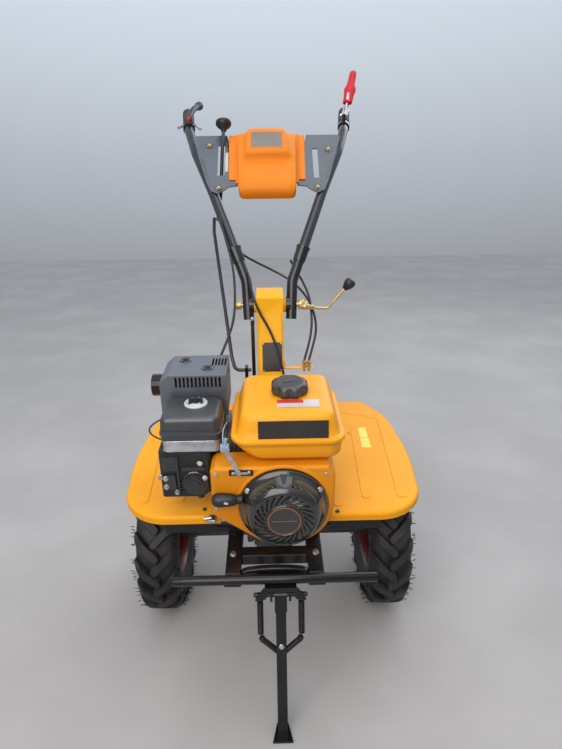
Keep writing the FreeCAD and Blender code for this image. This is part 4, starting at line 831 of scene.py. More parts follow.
fan_parts.append(copied(blade, [aimed(starter, forward) @ Matrix.Rotation(index * math.pi / 15, 4, "Z")
                                @ Matrix.Rotation(0.5, 4, "X") for index in range(30)]))
fan_metal = finish("fan_metal", (0.34, 0.31, 0.24), (0.22, 0.20, 0.15), (0.4, 0.6), metal=0.7, slot="cast_aluminium")
settle(joined(fan_parts), "flywheel_fan", "root", fan_metal)
copper = finish("copper", (0.62, 0.19, 0.05), (0.50, 0.15, 0.04), (0.3, 0.45), metal=0.3, slot="zinc")
ring = turned([(0.0484, 0.0318), (0.0495, 0.0318), (0.0495, 0.0331), (0.0484, 0.0331)], starter, forward, 72)
line = pressed([(-0.0250, -0.0004), (0.0250, -0.0004), (0.0250, 0.0004), (-0.0250, 0.0004)], 0.0008, 0.0001)
line.matrix_world = facing(starter + Vector((0, -0.0486, 0.0)))
settle(joined([ring, line]), "disc_ring", "root", copper)
screws = []
for degrees in (33, 147, 270):
    out = Vector((math.cos(math.radians(degrees)), 0, math.sin(math.radians(degrees))))
    screws.append((starter + out * 0.0872 + Vector((0, -0.0105, 0)), Vector(forward) + out * 0.35))
bolts("starter_screws", "root", screws, 0.0040, 0.0035)

# Pull handle: a moulded black grip lying beside the starter, its rope guide on the dome, and a small white mark.

grip_at = Vector((-0.1250, -0.2925, 0.3190))
grip_bar = turned([(0, 0), (0.0006, 0.006), (0.0035, 0.0112), (0.0090, 0.0142), (0.0200, 0.0146), (0.0300, 0.0138),
                   (0.0400, 0.0126), (0.0490, 0.0105), (0.0530, 0.0070), (0.0540, 0)], grip_at, (1, 0, 0), 32)
guide = turned([(0, 0), (0, 0.0100), (0.0100, 0.0100), (0.0110, 0.0085), (0.0110, 0)],
               grip_at + Vector((0.0515, 0.002, 0)), (1, 0, -0.1), 24)
settle(joined([grip_bar, guide]), "starter_grip", "root", black_plastic, "pull_handle")
pale_mark = finish("pale_mark", (0.60, 0.60, 0.62), (0.50, 0.51, 0.53), (0.3, 0.5), slot="bright_steel")
mark = pressed(stadium(0.0048, 0.0026), 0.0009, 0.0003)
mark.matrix_world = facing(grip_at + Vector((0.030, -0.0136, 0.0015)), 0.2)
settle(mark, "grip_mark", "root", pale_mark)

# Fuel tank: two pressed halves in yellow enamel crimped at a flange, with sloping sides and soft shoulders.
# A skin drawn over a stack of rounded outlines; its labels' places hold bare plates.


def lofted(rings, smooth=35):
    """A skin over a stack of rings with the same number of points, closed at both ends."""
    bpy.ops.object.select_all(action="DESELECT")
    count, last = len(rings[0]), len(rings) - 1
    bpy.ops.mesh.primitive_grid_add(x_subdivisions=count, y_subdivisions=last, size=2)
    piece = bpy.context.object
    for vertex in piece.data.vertices:
        column = round((vertex.co.x + 1) / 2 * count) % count
        vertex.co = rings[round((vertex.co.y + 1) / 2 * last)][column]
    bpy.ops.object.mode_set(mode="EDIT")
    bpy.ops.mesh.select_all(action="SELECT")
    bpy.ops.mesh.remove_doubles(threshold=0.000001)
    bpy.ops.mesh.fill_holes(sides=0)
    bpy.ops.mesh.select_all(action="SELECT")
    bpy.ops.mesh.normals_make_consistent(inside=False)
    bpy.ops.object.mode_set(mode="OBJECT")
    bpy.ops.object.shade_smooth_by_angle(angle=math.radians(smooth))
    return piece


def rounded_ring(right, left, front, back, corner, height, count=10):
    """A rounded rectangle seen from above, at one height."""
    points = []
    for x, y, start in ((left - corner, back - corner, 0), (right + corner, back - corner, 1),
                        (right + corner, front + corner, 2), (left - corner, front + corner, 3)):
        for step in range(count + 1):
            angle = (start + step / count) * math.pi / 2
            points.append((x + corner * math.cos(angle), y + corner * math.sin(angle), height))
    return points


tank_low, tank_high = level_box("fuel_tank")
tank_corner, deck = 0.036, 0.4915
TANK_LAYERS = [
    # height, inset from the flange's edge, how far the right end is drawn in further
    (0.3935, 0.0260, 0.036), (0.3940, 0.0160, 0.034), (0.3965, 0.0100, 0.030), (0.4010, 0.0072, 0.024),
    (0.4120, 0.0062, 0.012), (0.4220, 0.0055, 0.004), (0.4310, 0.0050, 0.000), (0.4325, 0.0040, 0.000),
    (0.4326, 0.0008, 0.000), (0.4340, 0.0000, 0.000), (0.4398, 0.0000, 0.000), (0.4412, 0.0010, 0.000),
    (0.4413, 0.0085, 0.000), (0.4430, 0.0105, 0.000), (0.4600, 0.0148, 0.000), (0.4740, 0.0188, 0.000),
    (0.4812, 0.0214, 0.000), (0.4852, 0.0243, 0.000), (0.4877, 0.0286, 0.000), (0.4891, 0.0345, 0.000),
    (0.4900, 0.0450, 0.000), (0.4909, 0.0620, 0.000), (0.4915, 0.0850, 0.000),
]
tank_shift = 0.005
tank_paint = finish("tank_paint", (0.90, 0.365, 0.010), (0.94, 0.40, 0.014), (0.30, 0.42), spread=6, grain=150, bump=0.02,
                    coat=0.1, ior=1.33, slot="yellow_paint")
tank_rings = []
for height, inset, drawn_in in TANK_LAYERS:
    tank_rings.append(rounded_ring(tank_low.x + tank_shift + inset + drawn_in, tank_high.x + tank_shift - inset,
                                   tank_low.y + inset, tank_high.y - inset, max(tank_corner - inset * 0.5, 0.006), height))
settle(lofted(tank_rings, 50), "petrol_tank", "root", tank_paint, "fuel_tank")
label_black = finish("label_black", (0.020, 0.018, 0.017), (0.028, 0.025, 0.023), (0.25, 0.4), slot="black_plastic")
front_plate = pressed([(-0.0700, -0.0185), (0.0700, -0.0185), (0.0700, 0.0185), (-0.0700, 0.0185)], 0.0010, 0.0003)
front_plate.matrix_world = facing((0.0420, tank_low.y + 0.0139, 0.4600), 0, math.radians(-12))
settle(front_plate, "tank_front_plate", "root", label_black)
top_label = pressed([(-0.0430, -0.0155), (0.0430, -0.0155), (0.0430, 0.0155), (-0.0430, 0.0155)], 0.0005, 0.0001)
top_label.matrix_world = Matrix.Translation((0.0540, -0.2070, deck - 0.0002)) @ Matrix.Rotation(math.radians(1.6), 4, "X")
settle(top_label, "tank_top_label", "root", pale_mark)
red_mark = finish("red_mark", (0.70, 0.05, 0.03), (0.62, 0.05, 0.03), (0.3, 0.5), slot="red_grip")
red_band = pressed([(-0.0430, 0.0010), (0.0110, 0.0010), (0.0110, 0.0150), (-0.0430, 0.0150)], 0.0003, 0.00005)
red_band.matrix_world = (Matrix.Translation((0.0540, -0.2070, deck + 0.0002))
                         @ Matrix.Rotation(math.radians(1.6), 4, "X"))
settle(red_band, "tank_label_band", "root", red_mark)

# Fuel cap: black moulded plastic with round lobes to hold it by and a low bar across its top.

cap_at, cap_radius, cap_lobes, cap_points = Vector((0.0385, -0.155, deck)), 0.039, 8, 112
CAP_LAYERS = [
    # height, share of the radius, depth of the hollows between the lobes
    (-0.0020, 0.84, 0.02), (0.0020, 0.93, 0.08), (0.0045, 1.02, 0.13), (0.0080, 1.05, 0.16), (0.0165, 1.04, 0.16),
    (0.0210, 1.01, 0.13), (0.0240, 0.94, 0.08), (0.0256, 0.84, 0.03), (0.0262, 0.70, 0.0), (0.0258, 0.62, 0.0),
    (0.0256, 0.20, 0.0),
]
cap_rings = []
for height, share, hollow in CAP_LAYERS:
    ring_points = []
    for step in range(cap_points):
        angle = 2 * math.pi * step / cap_points
        reach = cap_radius * share * (1 - hollow * (0.5 + 0.5 * math.cos(cap_lobes * angle)) ** 1.5)
        ring_points.append(cap_at + Vector((reach * math.cos(angle), reach * math.sin(angle), height)))
    cap_rings.append(ring_points)
cap_bar = chunk(cap_at + Vector((-0.017, -0.0040, 0.0230)), cap_at + Vector((0.017, 0.0040, 0.0280)), 0.003, 0.2)
cap_bar.matrix_world = Matrix.Translation(cap_at) @ Matrix.Rotation(0.35, 4, "Z") @ Matrix.Translation(-cap_at)
settle(joined([lofted(cap_rings), cap_bar]), "petrol_cap", "root", moulded_black, "fuel_cap")

# Muffler guard, muffler and outlet: a slotted black steel box round a heat-dulled muffler, bolted through its top.
# Softened copies of the solids with dished bolt seats painted black as painted shade in the dishes, and a rolled rim
# round the outlet.

heat_steel = finish("heat_steel", (0.020, 0.014, 0.012), (0.040, 0.024, 0.018), (0.5, 0.7), metal=0.2, spread=24, bump=0.2,
                    slot="black_paint")
# The guard is black steel. Its colour is lifted to a blue-grey, a painted sky reflection on its top and front.
guard_paint_and_sky_sheen = finish("guard_paint_and_sky_sheen", (0.062, 0.076, 0.098), (0.080, 0.096, 0.122), (0.28, 0.42), spread=14, grain=260,
                     bump=0.06, ior=2.1, slot="black_paint")
dress("muffler_guard", "guard_box", "root", guard_paint_and_sky_sheen, 0.0012, 2)
dress("muffler", "muffler_can", "root", heat_steel, 0.0008)
guard_low, guard_high = level_box("muffler_guard")
outlet_at = Vector((-0.268, guard_low.y + 0.056, 0.474))
outlet = turned([(0.0000, 0.0220), (0.0000, 0.0242), (0.0010, 0.0250), (0.0380, 0.0250), (0.0380, 0), (0.0350, 0),
                 (0.0350, 0.0220)], outlet_at, (1, 0, 0), 40)
grate = joined([bent([outlet_at + Vector((0.004, y, -reach)), outlet_at + Vector((0.004, y, 0)),
                      outlet_at + Vector((0.004, y, reach))], 0.0008, sides=1)
                for y, reach in ((-0.012, 0.018), (-0.006, 0.021), (0, 0.0219), (0.006, 0.021), (0.012, 0.018))])
settle(joined([outlet, grate]), "outlet_tube", "root", black_paint, "exhaust_outlet")
# The dished seats are painted black, darker than the guard: painted shade in the dishes.
shaded_seats = copied(turned([(0, 0), (0, 0.0145), (0.0008, 0.0145), (0.0020, 0.0125), (0.0006, 0.0095), (0.0006, 0)], steps=32),
               [aimed(spot, (0, 0, 1)) for spot in ((-0.195, -0.039, guard_high.z), (-0.140, -0.085, guard_high.z))])
settle(shaded_seats, "guard_bolt_seat_shade", "root", starter_black)
bolts("guard_bolts", "root", [((-0.195, -0.039, guard_high.z), (0, 0, 1)), ((-0.140, -0.085, guard_high.z), (0, 0, 1))],
      0.0050, 0.0045, hub_paint)
bolts("guard_side_bolts", "root", [((guard_low.x, y, z), (-1, 0, 0)) for y, z in ((-0.110, 0.445), (-0.030, 0.445))], 0.0036,
      0.003)

# Air cleaner: a moulded black cover on a crumpled bright band, held by a white disc with a dark knob.
# Skins over rounded outlines, with ribs round the cover, a raised oval on its front and a breather hose.

filter_low, filter_high = level_box("air_cleaner")
FILTER_LAYERS = [
    # height below the top, inset from the widest rim, corner
    (0.0510, 0.0040, 0.013), (0.0508, 0.0022, 0.014), (0.0410, 0.0020, 0.014), (0.0400, 0.0000, 0.016),
    (0.0350, 0.0000, 0.016), (0.0340, 0.0022, 0.014), (0.0290, 0.0026, 0.014), (0.0284, 0.0038, 0.013),
    (0.0268, 0.0038, 0.013), (0.0262, 0.0028, 0.014), (0.0110, 0.0038, 0.014), (0.0065, 0.0050, 0.014),
    (0.0030, 0.0074, 0.013), (0.0010, 0.0106, 0.012), (0.0001, 0.0145, 0.012), (0.0000, 0.0400, 0.008),
]
rings = [rounded_ring(filter_low.x + inset, filter_high.x - inset, filter_low.y + inset, filter_high.y - inset, corner,
                      filter_high.z - drop) for drop, inset, corner in FILTER_LAYERS]
oval = pressed(stadium(0.013, 0.0036, 12), 0.0022, 0.0008)
oval.matrix_world = facing(((filter_low.x + filter_high.x) / 2 + 0.006, filter_low.y + 0.0045, filter_high.z - 0.0200))
settle(joined([lofted(rings, 40), oval]), "filter_cover", "root", moulded_black, "air_cleaner")
knob_at = Vector(((filter_low.x + filter_high.x) / 2 + 0.007, (filter_low.y + filter_high.y) / 2 + 0.014, filter_high.z))
dish = turned([(-0.001, 0), (-0.001, 0.0245), (0.0018, 0.0245), (0.0034, 0.0232), (0.0036, 0.0205), (0.0022, 0.0185),
               (0.0020, 0.0150), (0.0034, 0.0135), (0.0036, 0)], knob_at, (0, 0, 1), 40)
settle(dish, "filter_disc", "root", pale_mark, "air_cleaner_nut")
wing_parts = [chunk((-0.0120, -0.0032, 0.003), (0.0120, 0.0032, 0.0125), 0.0012),
              turned([(0.003, 0), (0.003, 0.0075), (0.008, 0.0062), (0.0135, 0.0058), (0.0140, 0)], steps=20)]
wing_parts += [chunk((x - 0.0030, -0.0085, 0.003), (x + 0.0030, 0.0085, 0.0130), 0.0012, 0.15) for x in (-0.0120, 0.0120)]
wing_nut = joined(wing_parts)
wing_nut.matrix_world = Matrix.Translation(knob_at) @ Matrix.Rotation(math.radians(6), 4, "Z")
settle(wing_nut, "filter_knob", "root", black_plastic)
base_low, base_high = level_box("air_cleaner_base")
BASE_LAYERS = [(0.0000, 0.0050), (0.0012, 0.0018), (0.0030, 0.0008), (0.0060, 0.0022), (0.0200, 0.0020), (0.0260, 0.0010),
               (0.0290, 0.0030)]
rings = [rounded_ring(base_low.x + inset, base_high.x - inset, base_low.y + inset, base_high.y - inset, 0.013,
                      base_low.z + up) for up, inset in BASE_LAYERS]
foil = finish("foil", (0.42, 0.44, 0.50), (0.60, 0.60, 0.63), (0.16, 0.34), metal=0.75, spread=40, grain=38, bump=1.0,
              slot="bright_steel")
settle(lofted(rings, 60), "filter_band", "root", foil, "air_cleaner_base")
hose = bent([(-0.2270, -0.196, 0.4560), (-0.2420, -0.200, 0.4500), (-0.2550, -0.206, 0.4400), (-0.2530, -0.210, 0.4290),
             (-0.2400, -0.213, 0.4200), (-0.2270, -0.214, 0.4150)], 0.0017, sides=4)
settle(hose, "breather_hose", "root", black_plastic)

# Intake housing and carburettor: a moulded elbow box over a small black casting with a ribbed bowl.
# The box is a softened copy of the solid; bowl, ribs, screws and two pale adjusters are set on its front.

dress("intake_housing", "intake_box", "root", black_plastic, 0.0016, 3)
intake_low, intake_high = level_box("intake_housing")
intake_face = filter_low.y + 0.004
carburettor = [
    chunk((-0.2300, intake_face - 0.0045, 0.3560), (-0.1980, intake_face + 0.004, 0.3900), 0.002, 0.1),
    chunk((-0.1990, intake_face - 0.0075, 0.2960), (-0.1950, intake_face + 0.004, 0.3920), 0.001),
    chunk((-0.1900, intake_face - 0.0055, 0.3560), (-0.1400, intake_face + 0.004, 0.3660), 0.002),
    chunk((-0.2280, intake_face - 0.0060, 0.3100), (-0.2020, intake_face + 0.004, 0.3480), 0.003, 0.1),
]
bowl_at = Vector((-0.1640, intake_face + 0.002, 0.3240))
carburettor.append(turned([(0, 0), (0, 0.0290), (0.0040, 0.0290), (0.0055, 0.0270), (0.0055, 0.0235), (0.0085, 0.0225),
                           (0.0085, 0.0185), (0.0110, 0.0175), (0.0110, 0.0125), (0.0135, 0.0115), (0.0140, 0)],
                          bowl_at, forward, 40))
carburettor += [chunk((bowl_at.x - 0.030, intake_face - 0.0065, z), (bowl_at.x - 0.018, intake_face + 0.002, z + 0.002), 0.0006)
                for z in (0.306, 0.313, 0.320, 0.327)]
carburettor.append(turned([(0, 0), (0, 0.0085), (0.012, 0.0085), (0.013, 0.0070), (0.013, 0)],
                          (-0.1560, intake_face + 0.016, intake_low.z + 0.001), (0, 0, -1), 24))
settle(joined(carburettor), "carburettor", "root", starter_black)
adjusters = copied(turned([(0, 0), (0, 0.0048), (0.007, 0.0048), (0.008, 0.0032), (0.008, 0)], steps=20),
                   [aimed((-0.1520, intake_face - 0.004, 0.3750), (0.5, -0.8, 0.3)),
                    aimed((-0.1435, intake_face - 0.006, 0.3420), (0.6, -0.8, -0.2))])
settle(adjusters, "idle_adjusters", "root", pale_mark)
bolts("intake_bolts", "root", [((-0.2350, intake_face - 0.001, 0.3400), forward), ((-0.2235, intake_face - 0.006, 0.3400), forward),
                               ((-0.2235, intake_face - 0.006, 0.3190), forward),
                               ((-0.2025, intake_face - 0.004, 0.3035), forward)], 0.0040, 0.004)

# Throttle linkage: a bent strip lever that slopes up from the switch plate to a clamp under the tank,
# zinc plated, with its cable clamp, return spring and link rod.

lever_foot, lever_head = Vector((-0.0680, -0.2845, 0.3790)), Vector((-0.0925, -0.2830, 0.4335))
lever_strip = pressed([(-0.0048, -0.003), (-0.0036, -0.0062), (0.0036, -0.0062), (0.0048, -0.003), (0.0042, 0.052),
                       (0.0034, 0.058), (-0.0034, 0.058), (-0.0042, 0.052)], 0.0016, 0.0004)
lever_strip.matrix_world = (Matrix.Translation(lever_foot)
                            @ Matrix.Rotation(math.atan2(lever_head.x - lever_foot.x, lever_head.z - lever_foot.z), 4, "Y")
                            @ upright)
lever_screw = turned([(-0.004, 0), (-0.004, 0.0030), (0.002, 0.0030), (0.0022, 0.0058), (0.0042, 0.0052), (0.0050, 0)],
                     lever_foot, forward, 20)
settle(joined([lever_strip, lever_screw]), "throttle_strip", "root", bright_steel, "throttle_lever")
blue_zinc = finish("blue_zinc", (0.36, 0.50, 0.58), (0.55, 0.62, 0.66), (0.25, 0.45), metal=0.7, grain=500, slot="zinc")
clamp_parts = [chunk(lever_head + Vector((-0.0095, -0.006, -0.004)), lever_head + Vector((0.0080, 0.006, 0.010)), 0.0015),
               turned([(0, 0), (0, 0.0048), (0.015, 0.0040), (0.016, 0)], lever_head + Vector((-0.001, 0, 0.008)), (0.2, 0.2, 1),
                      20),
               turned([(0, 0), (0, 0.0055), (0.004, 0.0055), (0.005, 0)], lever_head + Vector((0.004, -0.005, 0.003)), forward,
                      20)]
spring_points = []
for step in range(12 * 8 + 1):
    angle = step * math.pi / 4
    spring_points.append((-0.0925 + 0.0030 * math.cos(angle), -0.262 + 0.0030 * math.sin(angle), 0.398 + 0.030 * step / 96))
clamp_parts.append(bent(spring_points, 0.0006, sides=2))
link = bent([lever_head + Vector((-0.004, 0.004, 0.008)), lever_head + Vector((-0.006, 0.020, 0.020)),
             lever_head + Vector((-0.003, 0.040, 0.030)), lever_head + Vector((0.0, 0.070, 0.020))], 0.0012, sides=3)
settle(joined(clamp_parts + [link]), "throttle_clamp", "root", blue_zinc)

# Handle column: a folded sheet-steel box welded to the gearbox cover, in yellow enamel painted brighter as painted
# light on its upturned face, with round pivot bosses at its head.
# A softened copy of the solid, with a bare dark data plate on its front, two rivets and the bolts of its foot.

# A brighter copy of the yellow enamel: painted light on the column's face, which turns forward and up.
lit_column_paint = finish("lit_column_paint", (0.95, 0.46, 0.012), (0.97, 0.50, 0.018), (0.30, 0.44), spread=6, grain=150, bump=0.03,
                      ior=1.35, slot="yellow_paint")
pivot = Vector((0, 0.150, 0.590))
foot_bolts = [((x, 0.1112, z), (0, 1, 0.0)) for x in (-0.020, 0.020) for z in (0.357,)]
dress("handle_column", "column_box", "root", lit_column_paint, 0.0014, 3)
column_low, column_front = Vector((0, 0.044, 0.365)), Vector((0, pivot.y - 0.038, pivot.z - 0.020))
column_lean = math.atan2(column_front.y - column_low.y, column_front.z - column_low.z)
plate_half_width, plate_half_height = 0.0250, 0.0370
data_plate = pressed([(-plate_half_width, -plate_half_height), (plate_half_width, -plate_half_height),
                      (plate_half_width, plate_half_height), (-plate_half_width, plate_half_height)], 0.0007, 0.0003)
plate_share = (0.474 - column_low.z) / (column_front.z - column_low.z)
plate_place = column_low.lerp(column_front, plate_share) + Vector((0.004, 0.0002, 0))
data_plate.matrix_world = facing(plate_place, 0, -column_lean)
plate_ink = finish("plate_ink", (0.012, 0.015, 0.022), (0.018, 0.022, 0.032), (0.25, 0.4), slot="black_plastic")
settle(data_plate, "column_plate", "root", plate_ink)
rivet = turned([(0, 0), (0, 0.0018), (0.0010, 0.0014), (0.0012, 0)], steps=14)
out = Vector((0, -math.cos(column_lean), math.sin(column_lean)))
rivets = copied(rivet, [aimed(plate_place + out * 0.0007 + Vector((x, 0, 0)) + Vector((0, math.sin(column_lean),
                                                                                     math.cos(column_lean))) * z, out)
                        for x in (-0.0220, 0.0220) for z in (-0.0340, 0.0340)])
settle(rivets, "plate_rivets", "root", bright_steel)
bolts("column_bolts", "root", foot_bolts, 0.0055, 0.0045)

# Tilt pivot: a long bolt through both handlebars, a zinc-plated clamp lever with a thick sleeve, and its knob.
# The lever is round bar bent twice; the knob is moulded black, longer than it is wide.

zinc = finish("zinc", (0.62, 0.47, 0.20), (0.50, 0.40, 0.20), (0.26, 0.42), metal=0.8, spread=30, grain=420, bump=0.12)
dress("pivot_bolt", "tilt_bolt", "root", zinc, 0.001, 2)
bolts("tilt_bolt_heads", "root", [((-0.0830, pivot.y, pivot.z), (-1, 0, 0)), ((0.0885, pivot.y, pivot.z), (1, 0, 0))], 0.0085,
      0.006, zinc)
clamp_route = [pivot + Vector(place) for place in ((0.078, -0.016, 0), (0.100, -0.016, -0.0026), (0.132, -0.016, -0.0062),
                                                   (0.146, -0.016, -0.0060), (0.156, -0.016, 0.0060), (0.170, -0.016, 0.0225),
                                                   (0.188, -0.016, 0.044))]
clamp_hub = turned([(0, 0), (0, 0.012), (0.0015, 0.013), (0.0125, 0.013), (0.014, 0.012), (0.014, 0)],
                   pivot + Vector((0.073, 0, 0)), (1, 0, 0), 32)
clamp_sleeve = turned([(0, 0), (0, 0.0068), (0.002, 0.0078), (0.010, 0.0078), (0.012, 0.0066), (0.026, 0.0058), (0.030, 0.0040),
                       (0.030, 0)], pivot + Vector((0.084, -0.016, -0.0008)), (1, 0, -0.11), 24)
clamp_web = chunk(pivot + Vector((0.074, -0.026, -0.005)), pivot + Vector((0.082, -0.006, 0.005)), 0.0015)
settle(joined([bent(clamp_route, 0.004, sides=5), clamp_hub, clamp_sleeve, clamp_web]), "clamp_arm", "root", zinc,
       "clamp_lever")
clamp_axis = Vector((0.044, 0, 0.051))
clamp_grip = turned([(-0.0150, 0), (-0.0150, 0.0058), (-0.0140, 0.0072), (-0.0100, 0.0085), (-0.0050, 0.0115), (0.0010, 0.0138),
                     (0.0070, 0.0142), (0.0120, 0.0125), (0.0152, 0.0085), (0.0160, 0)], pivot + Vector((0.197, -0.016, 0.054)),
                    clamp_axis, 32)
settle(clamp_grip, "clamp_grip", "root", black_plastic, "clamp_knob")

# Handlebars: two bent steel tubes in glossy black, with lugs at the pivot, welded collars and moulded rubber grips.

tube_paint = finish("tube_paint", (0.010, 0.012, 0.016), (0.017, 0.020, 0.026), (0.16, 0.28), spread=18, coat=0.2,
                    slot="black_paint")
BAR_BENDS = [
    # side, back and up from the pivot
    (0.054, -0.014, -0.034), (0.058, 0.018, 0.056), (0.086, 0.058, 0.126), (0.147, 0.200, 0.253), (0.200, 0.320, 0.346),
    (0.226, 0.410, 0.402), (0.246, 0.570, 0.450),
]
tube_radius, grip_radius, grip_length = 0.0135, 0.017, 0.121


def bar_bend(index, sign):
    """A bend of one handlebar."""
    side, back, up = BAR_BENDS[index]
    return pivot + Vector((sign * side, back, up))


def bar_end(sign, along):
    """A point on a handlebar's straight end, and the end's direction."""
    direction = (bar_bend(-1, sign) - bar_bend(-2, sign)).normalized()
    return bar_bend(-2, sign) + direction * along, direction


grip_rubber = finish("grip_rubber", (0.020, 0.021, 0.023), (0.034, 0.034, 0.036), (0.5, 0.7), grain=600, bump=0.3,
                     slot="black_rubber")
grip_profile = [(0, 0), (0, tube_radius + 0.0005), (0, 0.0170), (0.0015, 0.0178), (0.0045, 0.0178), (0.0060, 0.0168)]
for step in range(14):
    along = 0.0080 + 0.0076 * step
    grip_profile += [(along, 0.0170), (along + 0.0044, 0.0170), (along + 0.0052, 0.0158), (along + 0.0068, 0.0158)]
grip_profile += [(0.1160, 0.0170), (0.1190, 0.0160), (0.1206, 0.0130), (0.1210, 0)]
for name, sign in SIDES:
    dress("handlebar_" + name, "bar_tube_" + name, "handlebar", tube_paint, 0.0006, 1, 25)
    collar_axis = bar_bend(2, sign) - bar_bend(1, sign)
    collar = turned([(-0.020, 0.0130), (-0.020, 0.0150), (-0.012, 0.0165), (0.010, 0.0165), (0.019, 0.0185), (0.021, 0.0175),
                     (0.021, 0.0130)], bar_bend(2, sign) - collar_axis.normalized() * 0.012, collar_axis, 32)
    settle(collar, "bar_collar_" + name, "handlebar", tube_paint)
    tip, direction = bar_end(sign, (bar_bend(-1, sign) - bar_bend(-2, sign)).length)
    grip = turned(grip_profile, tip - direction * (grip_length - 0.006), direction, 32)
    settle(grip, "bar_grip_" + name, "handlebar", grip_rubber, "grip_" + name)

# Bracket plates: two flat steel plates bolted across the handlebars' sloping run, powder-coated dark grey.
# Softened copies of the solids, with dished bolts on seats painted black as painted shade, painted shadow strips along
# their outer edges where they meet the tubes, and the gear gate.

slope = Vector((0, BAR_BENDS[4][1] - BAR_BENDS[3][1], BAR_BENDS[4][2] - BAR_BENDS[3][2])).normalized()
slope_out = Vector((0, -slope.z, slope.y))
slope_start = pivot + Vector((0, BAR_BENDS[3][1], BAR_BENDS[3][2]))


def on_slope(side, up, out):
    """The place and turn of a flat piece lying on the handlebars' slope."""
    axes = Matrix.Identity(4)
    for row in range(3):
        axes[row][1], axes[row][2] = slope[row], slope_out[row]
    return Matrix.Translation(slope_start + Vector((side, 0, 0)) + slope * up + slope_out * out) @ axes


grey_plate = finish("grey_plate", (0.058, 0.075, 0.098), (0.076, 0.096, 0.122), (0.30, 0.46), spread=10, grain=500, bump=0.12,
                    ior=1.7)
plate_face = tube_radius + 0.0040
PLATE_BOLTS = {"left": [(0.171, 0.143), (0.134, -0.002)], "right": [(-0.160, 0.162), (-0.130, -0.002)]}
PLATE_EDGE_SHADOWS = {"left": (0.1690, 0.072, -0.25), "right": (-0.1690, 0.072, 0.25)}
for name, sign in SIDES:
    dress("bracket_plate_" + name, "bracket_" + name, "handlebar", grey_plate, 0.0008)
    # The dished seats are painted black: painted shade in the dishes round the bolts.
    shaded_seats = copied(turned([(-0.0005, 0), (-0.0005, 0.0125), (0.0004, 0.0125), (0.0009, 0.0110), (0.0002, 0.0085), (0.0002, 0)],
                          steps=28), [on_slope(side, up, plate_face) for side, up in PLATE_BOLTS[name]])
    settle(shaded_seats, "bracket_seat_shade_" + name, "handlebar", starter_black)
    heads = [(on_slope(side, up, plate_face).translation, slope_out) for side, up in PLATE_BOLTS[name]]
    bolts("bracket_bolts_" + name, "handlebar", heads, 0.0036, 0.004, zinc)
    side, up, turn = PLATE_EDGE_SHADOWS[name]
    # A thin black strip along the plate's edge: a painted shadow of the gap between plate and tube.
    edge_shadow = pressed(stadium(0.041, 0.0028), 0.0009, 0.0003)
    edge_shadow.matrix_world = on_slope(side, up, plate_face - 0.0003) @ Matrix.Rotation(math.pi / 2 + turn, 4, "Z")
    settle(edge_shadow, "bracket_edge_shadow_" + name, "handlebar", starter_black)
gate = pressed([(-0.1165, 0.040), (-0.1035, 0.040), (-0.1035, 0.170), (-0.1165, 0.170)], 0.0038, 0.0006)
gate.matrix_world = on_slope(0, 0, tube_radius + 0.0001)
settle(gate, "gear_gate", "handlebar", grey_plate)
gate_label = pressed([(-0.1150, 0.060), (-0.1070, 0.060), (-0.1070, 0.134), (-0.1150, 0.134)], 0.0003, 0.0001)
gate_label.matrix_world = on_slope(0, 0, plate_face)
settle(gate_label, "gate_label", "handlebar", pale_mark)

# Dash box: a moulded orange cover with a raised hood over a deep fold, a rounded chin and two flat side flanges.
# A skin over sections taken up the slope; the hood's label place is a bare grey recess.

DASH_SECTIONS = [
    # up the slope, half width, shoulder height, half width of the raised hood, its height
    (-0.0428, 0.056, 0.0090, 0.046, 0.0100), (-0.0420, 0.064, 0.0150, 0.052, 0.0170), (-0.0390, 0.070, 0.0215, 0.056, 0.0245),
    (-0.0330, 0.0735, 0.0265, 0.059, 0.0300), (-0.0230, 0.0755, 0.0305, 0.061, 0.0340), (-0.0080, 0.0765, 0.0330, 0.062, 0.0360),
    (0.0150, 0.0770, 0.0340, 0.062, 0.0375), (0.0380, 0.0775, 0.0345, 0.060, 0.0380), (0.0500, 0.0780, 0.0340, 0.058, 0.0365),
    (0.0560, 0.0780, 0.0335, 0.057, 0.0320), (0.0620, 0.0780, 0.0335, 0.056, 0.0305), (0.0680, 0.0785, 0.0340, 0.055, 0.0325),
    (0.0730, 0.0785, 0.0345, 0.055, 0.0430), (0.0770, 0.0788, 0.0350, 0.055, 0.0485), (0.0830, 0.0790, 0.0350, 0.055, 0.0500),
    (0.1300, 0.0795, 0.0350, 0.054, 0.0500), (0.1560, 0.0795, 0.0340, 0.052, 0.0490), (0.1680, 0.0780, 0.0310, 0.050, 0.0465),
    (0.1780, 0.0750, 0.0270, 0.048, 0.0420), (0.1880, 0.0715, 0.0200, 0.046, 0.0340), (0.1960, 0.0690, 0.0110, 0.045, 0.0180),
    (0.1995, 0.0680, 0.0030, 0.044, 0.0050),
]
dash_paint = finish("dash_paint", (0.80, 0.225, 0.010), (0.84, 0.25, 0.012), (0.40, 0.54), spread=7, grain=500, bump=0.05,
                    ior=1.3, slot="yellow_paint")
dash_side, dash_seat = -0.0005, tube_radius + 0.0042
sections = []
for up, half, shoulder, top_half, top in DASH_SECTIONS:
    slant = (half - top_half) * 0.45
    edge = min(0.004, shoulder * 0.4)
    half_section = [
        (half, 0.0008), (half, shoulder * 0.5), (half - 0.0004, shoulder - edge), (half - edge * 0.35, shoulder - edge * 0.35),
        (half - edge, shoulder), (top_half + slant, shoulder + (top - shoulder) * 0.12),
        (top_half + 0.003, top - (top - shoulder) * 0.35), (top_half + 0.0006, top - (top - shoulder) * 0.10),
        (top_half - 0.003, top), (top_half * 0.5, top + 0.0008),
    ]
    outline = half_section + [(-a, b) for a, b in reversed(half_section)]
    sections.append([on_slope(dash_side + a, up, dash_seat + b).translation for a, b in outline])
hood = lofted(sections, 50)
flanges = []
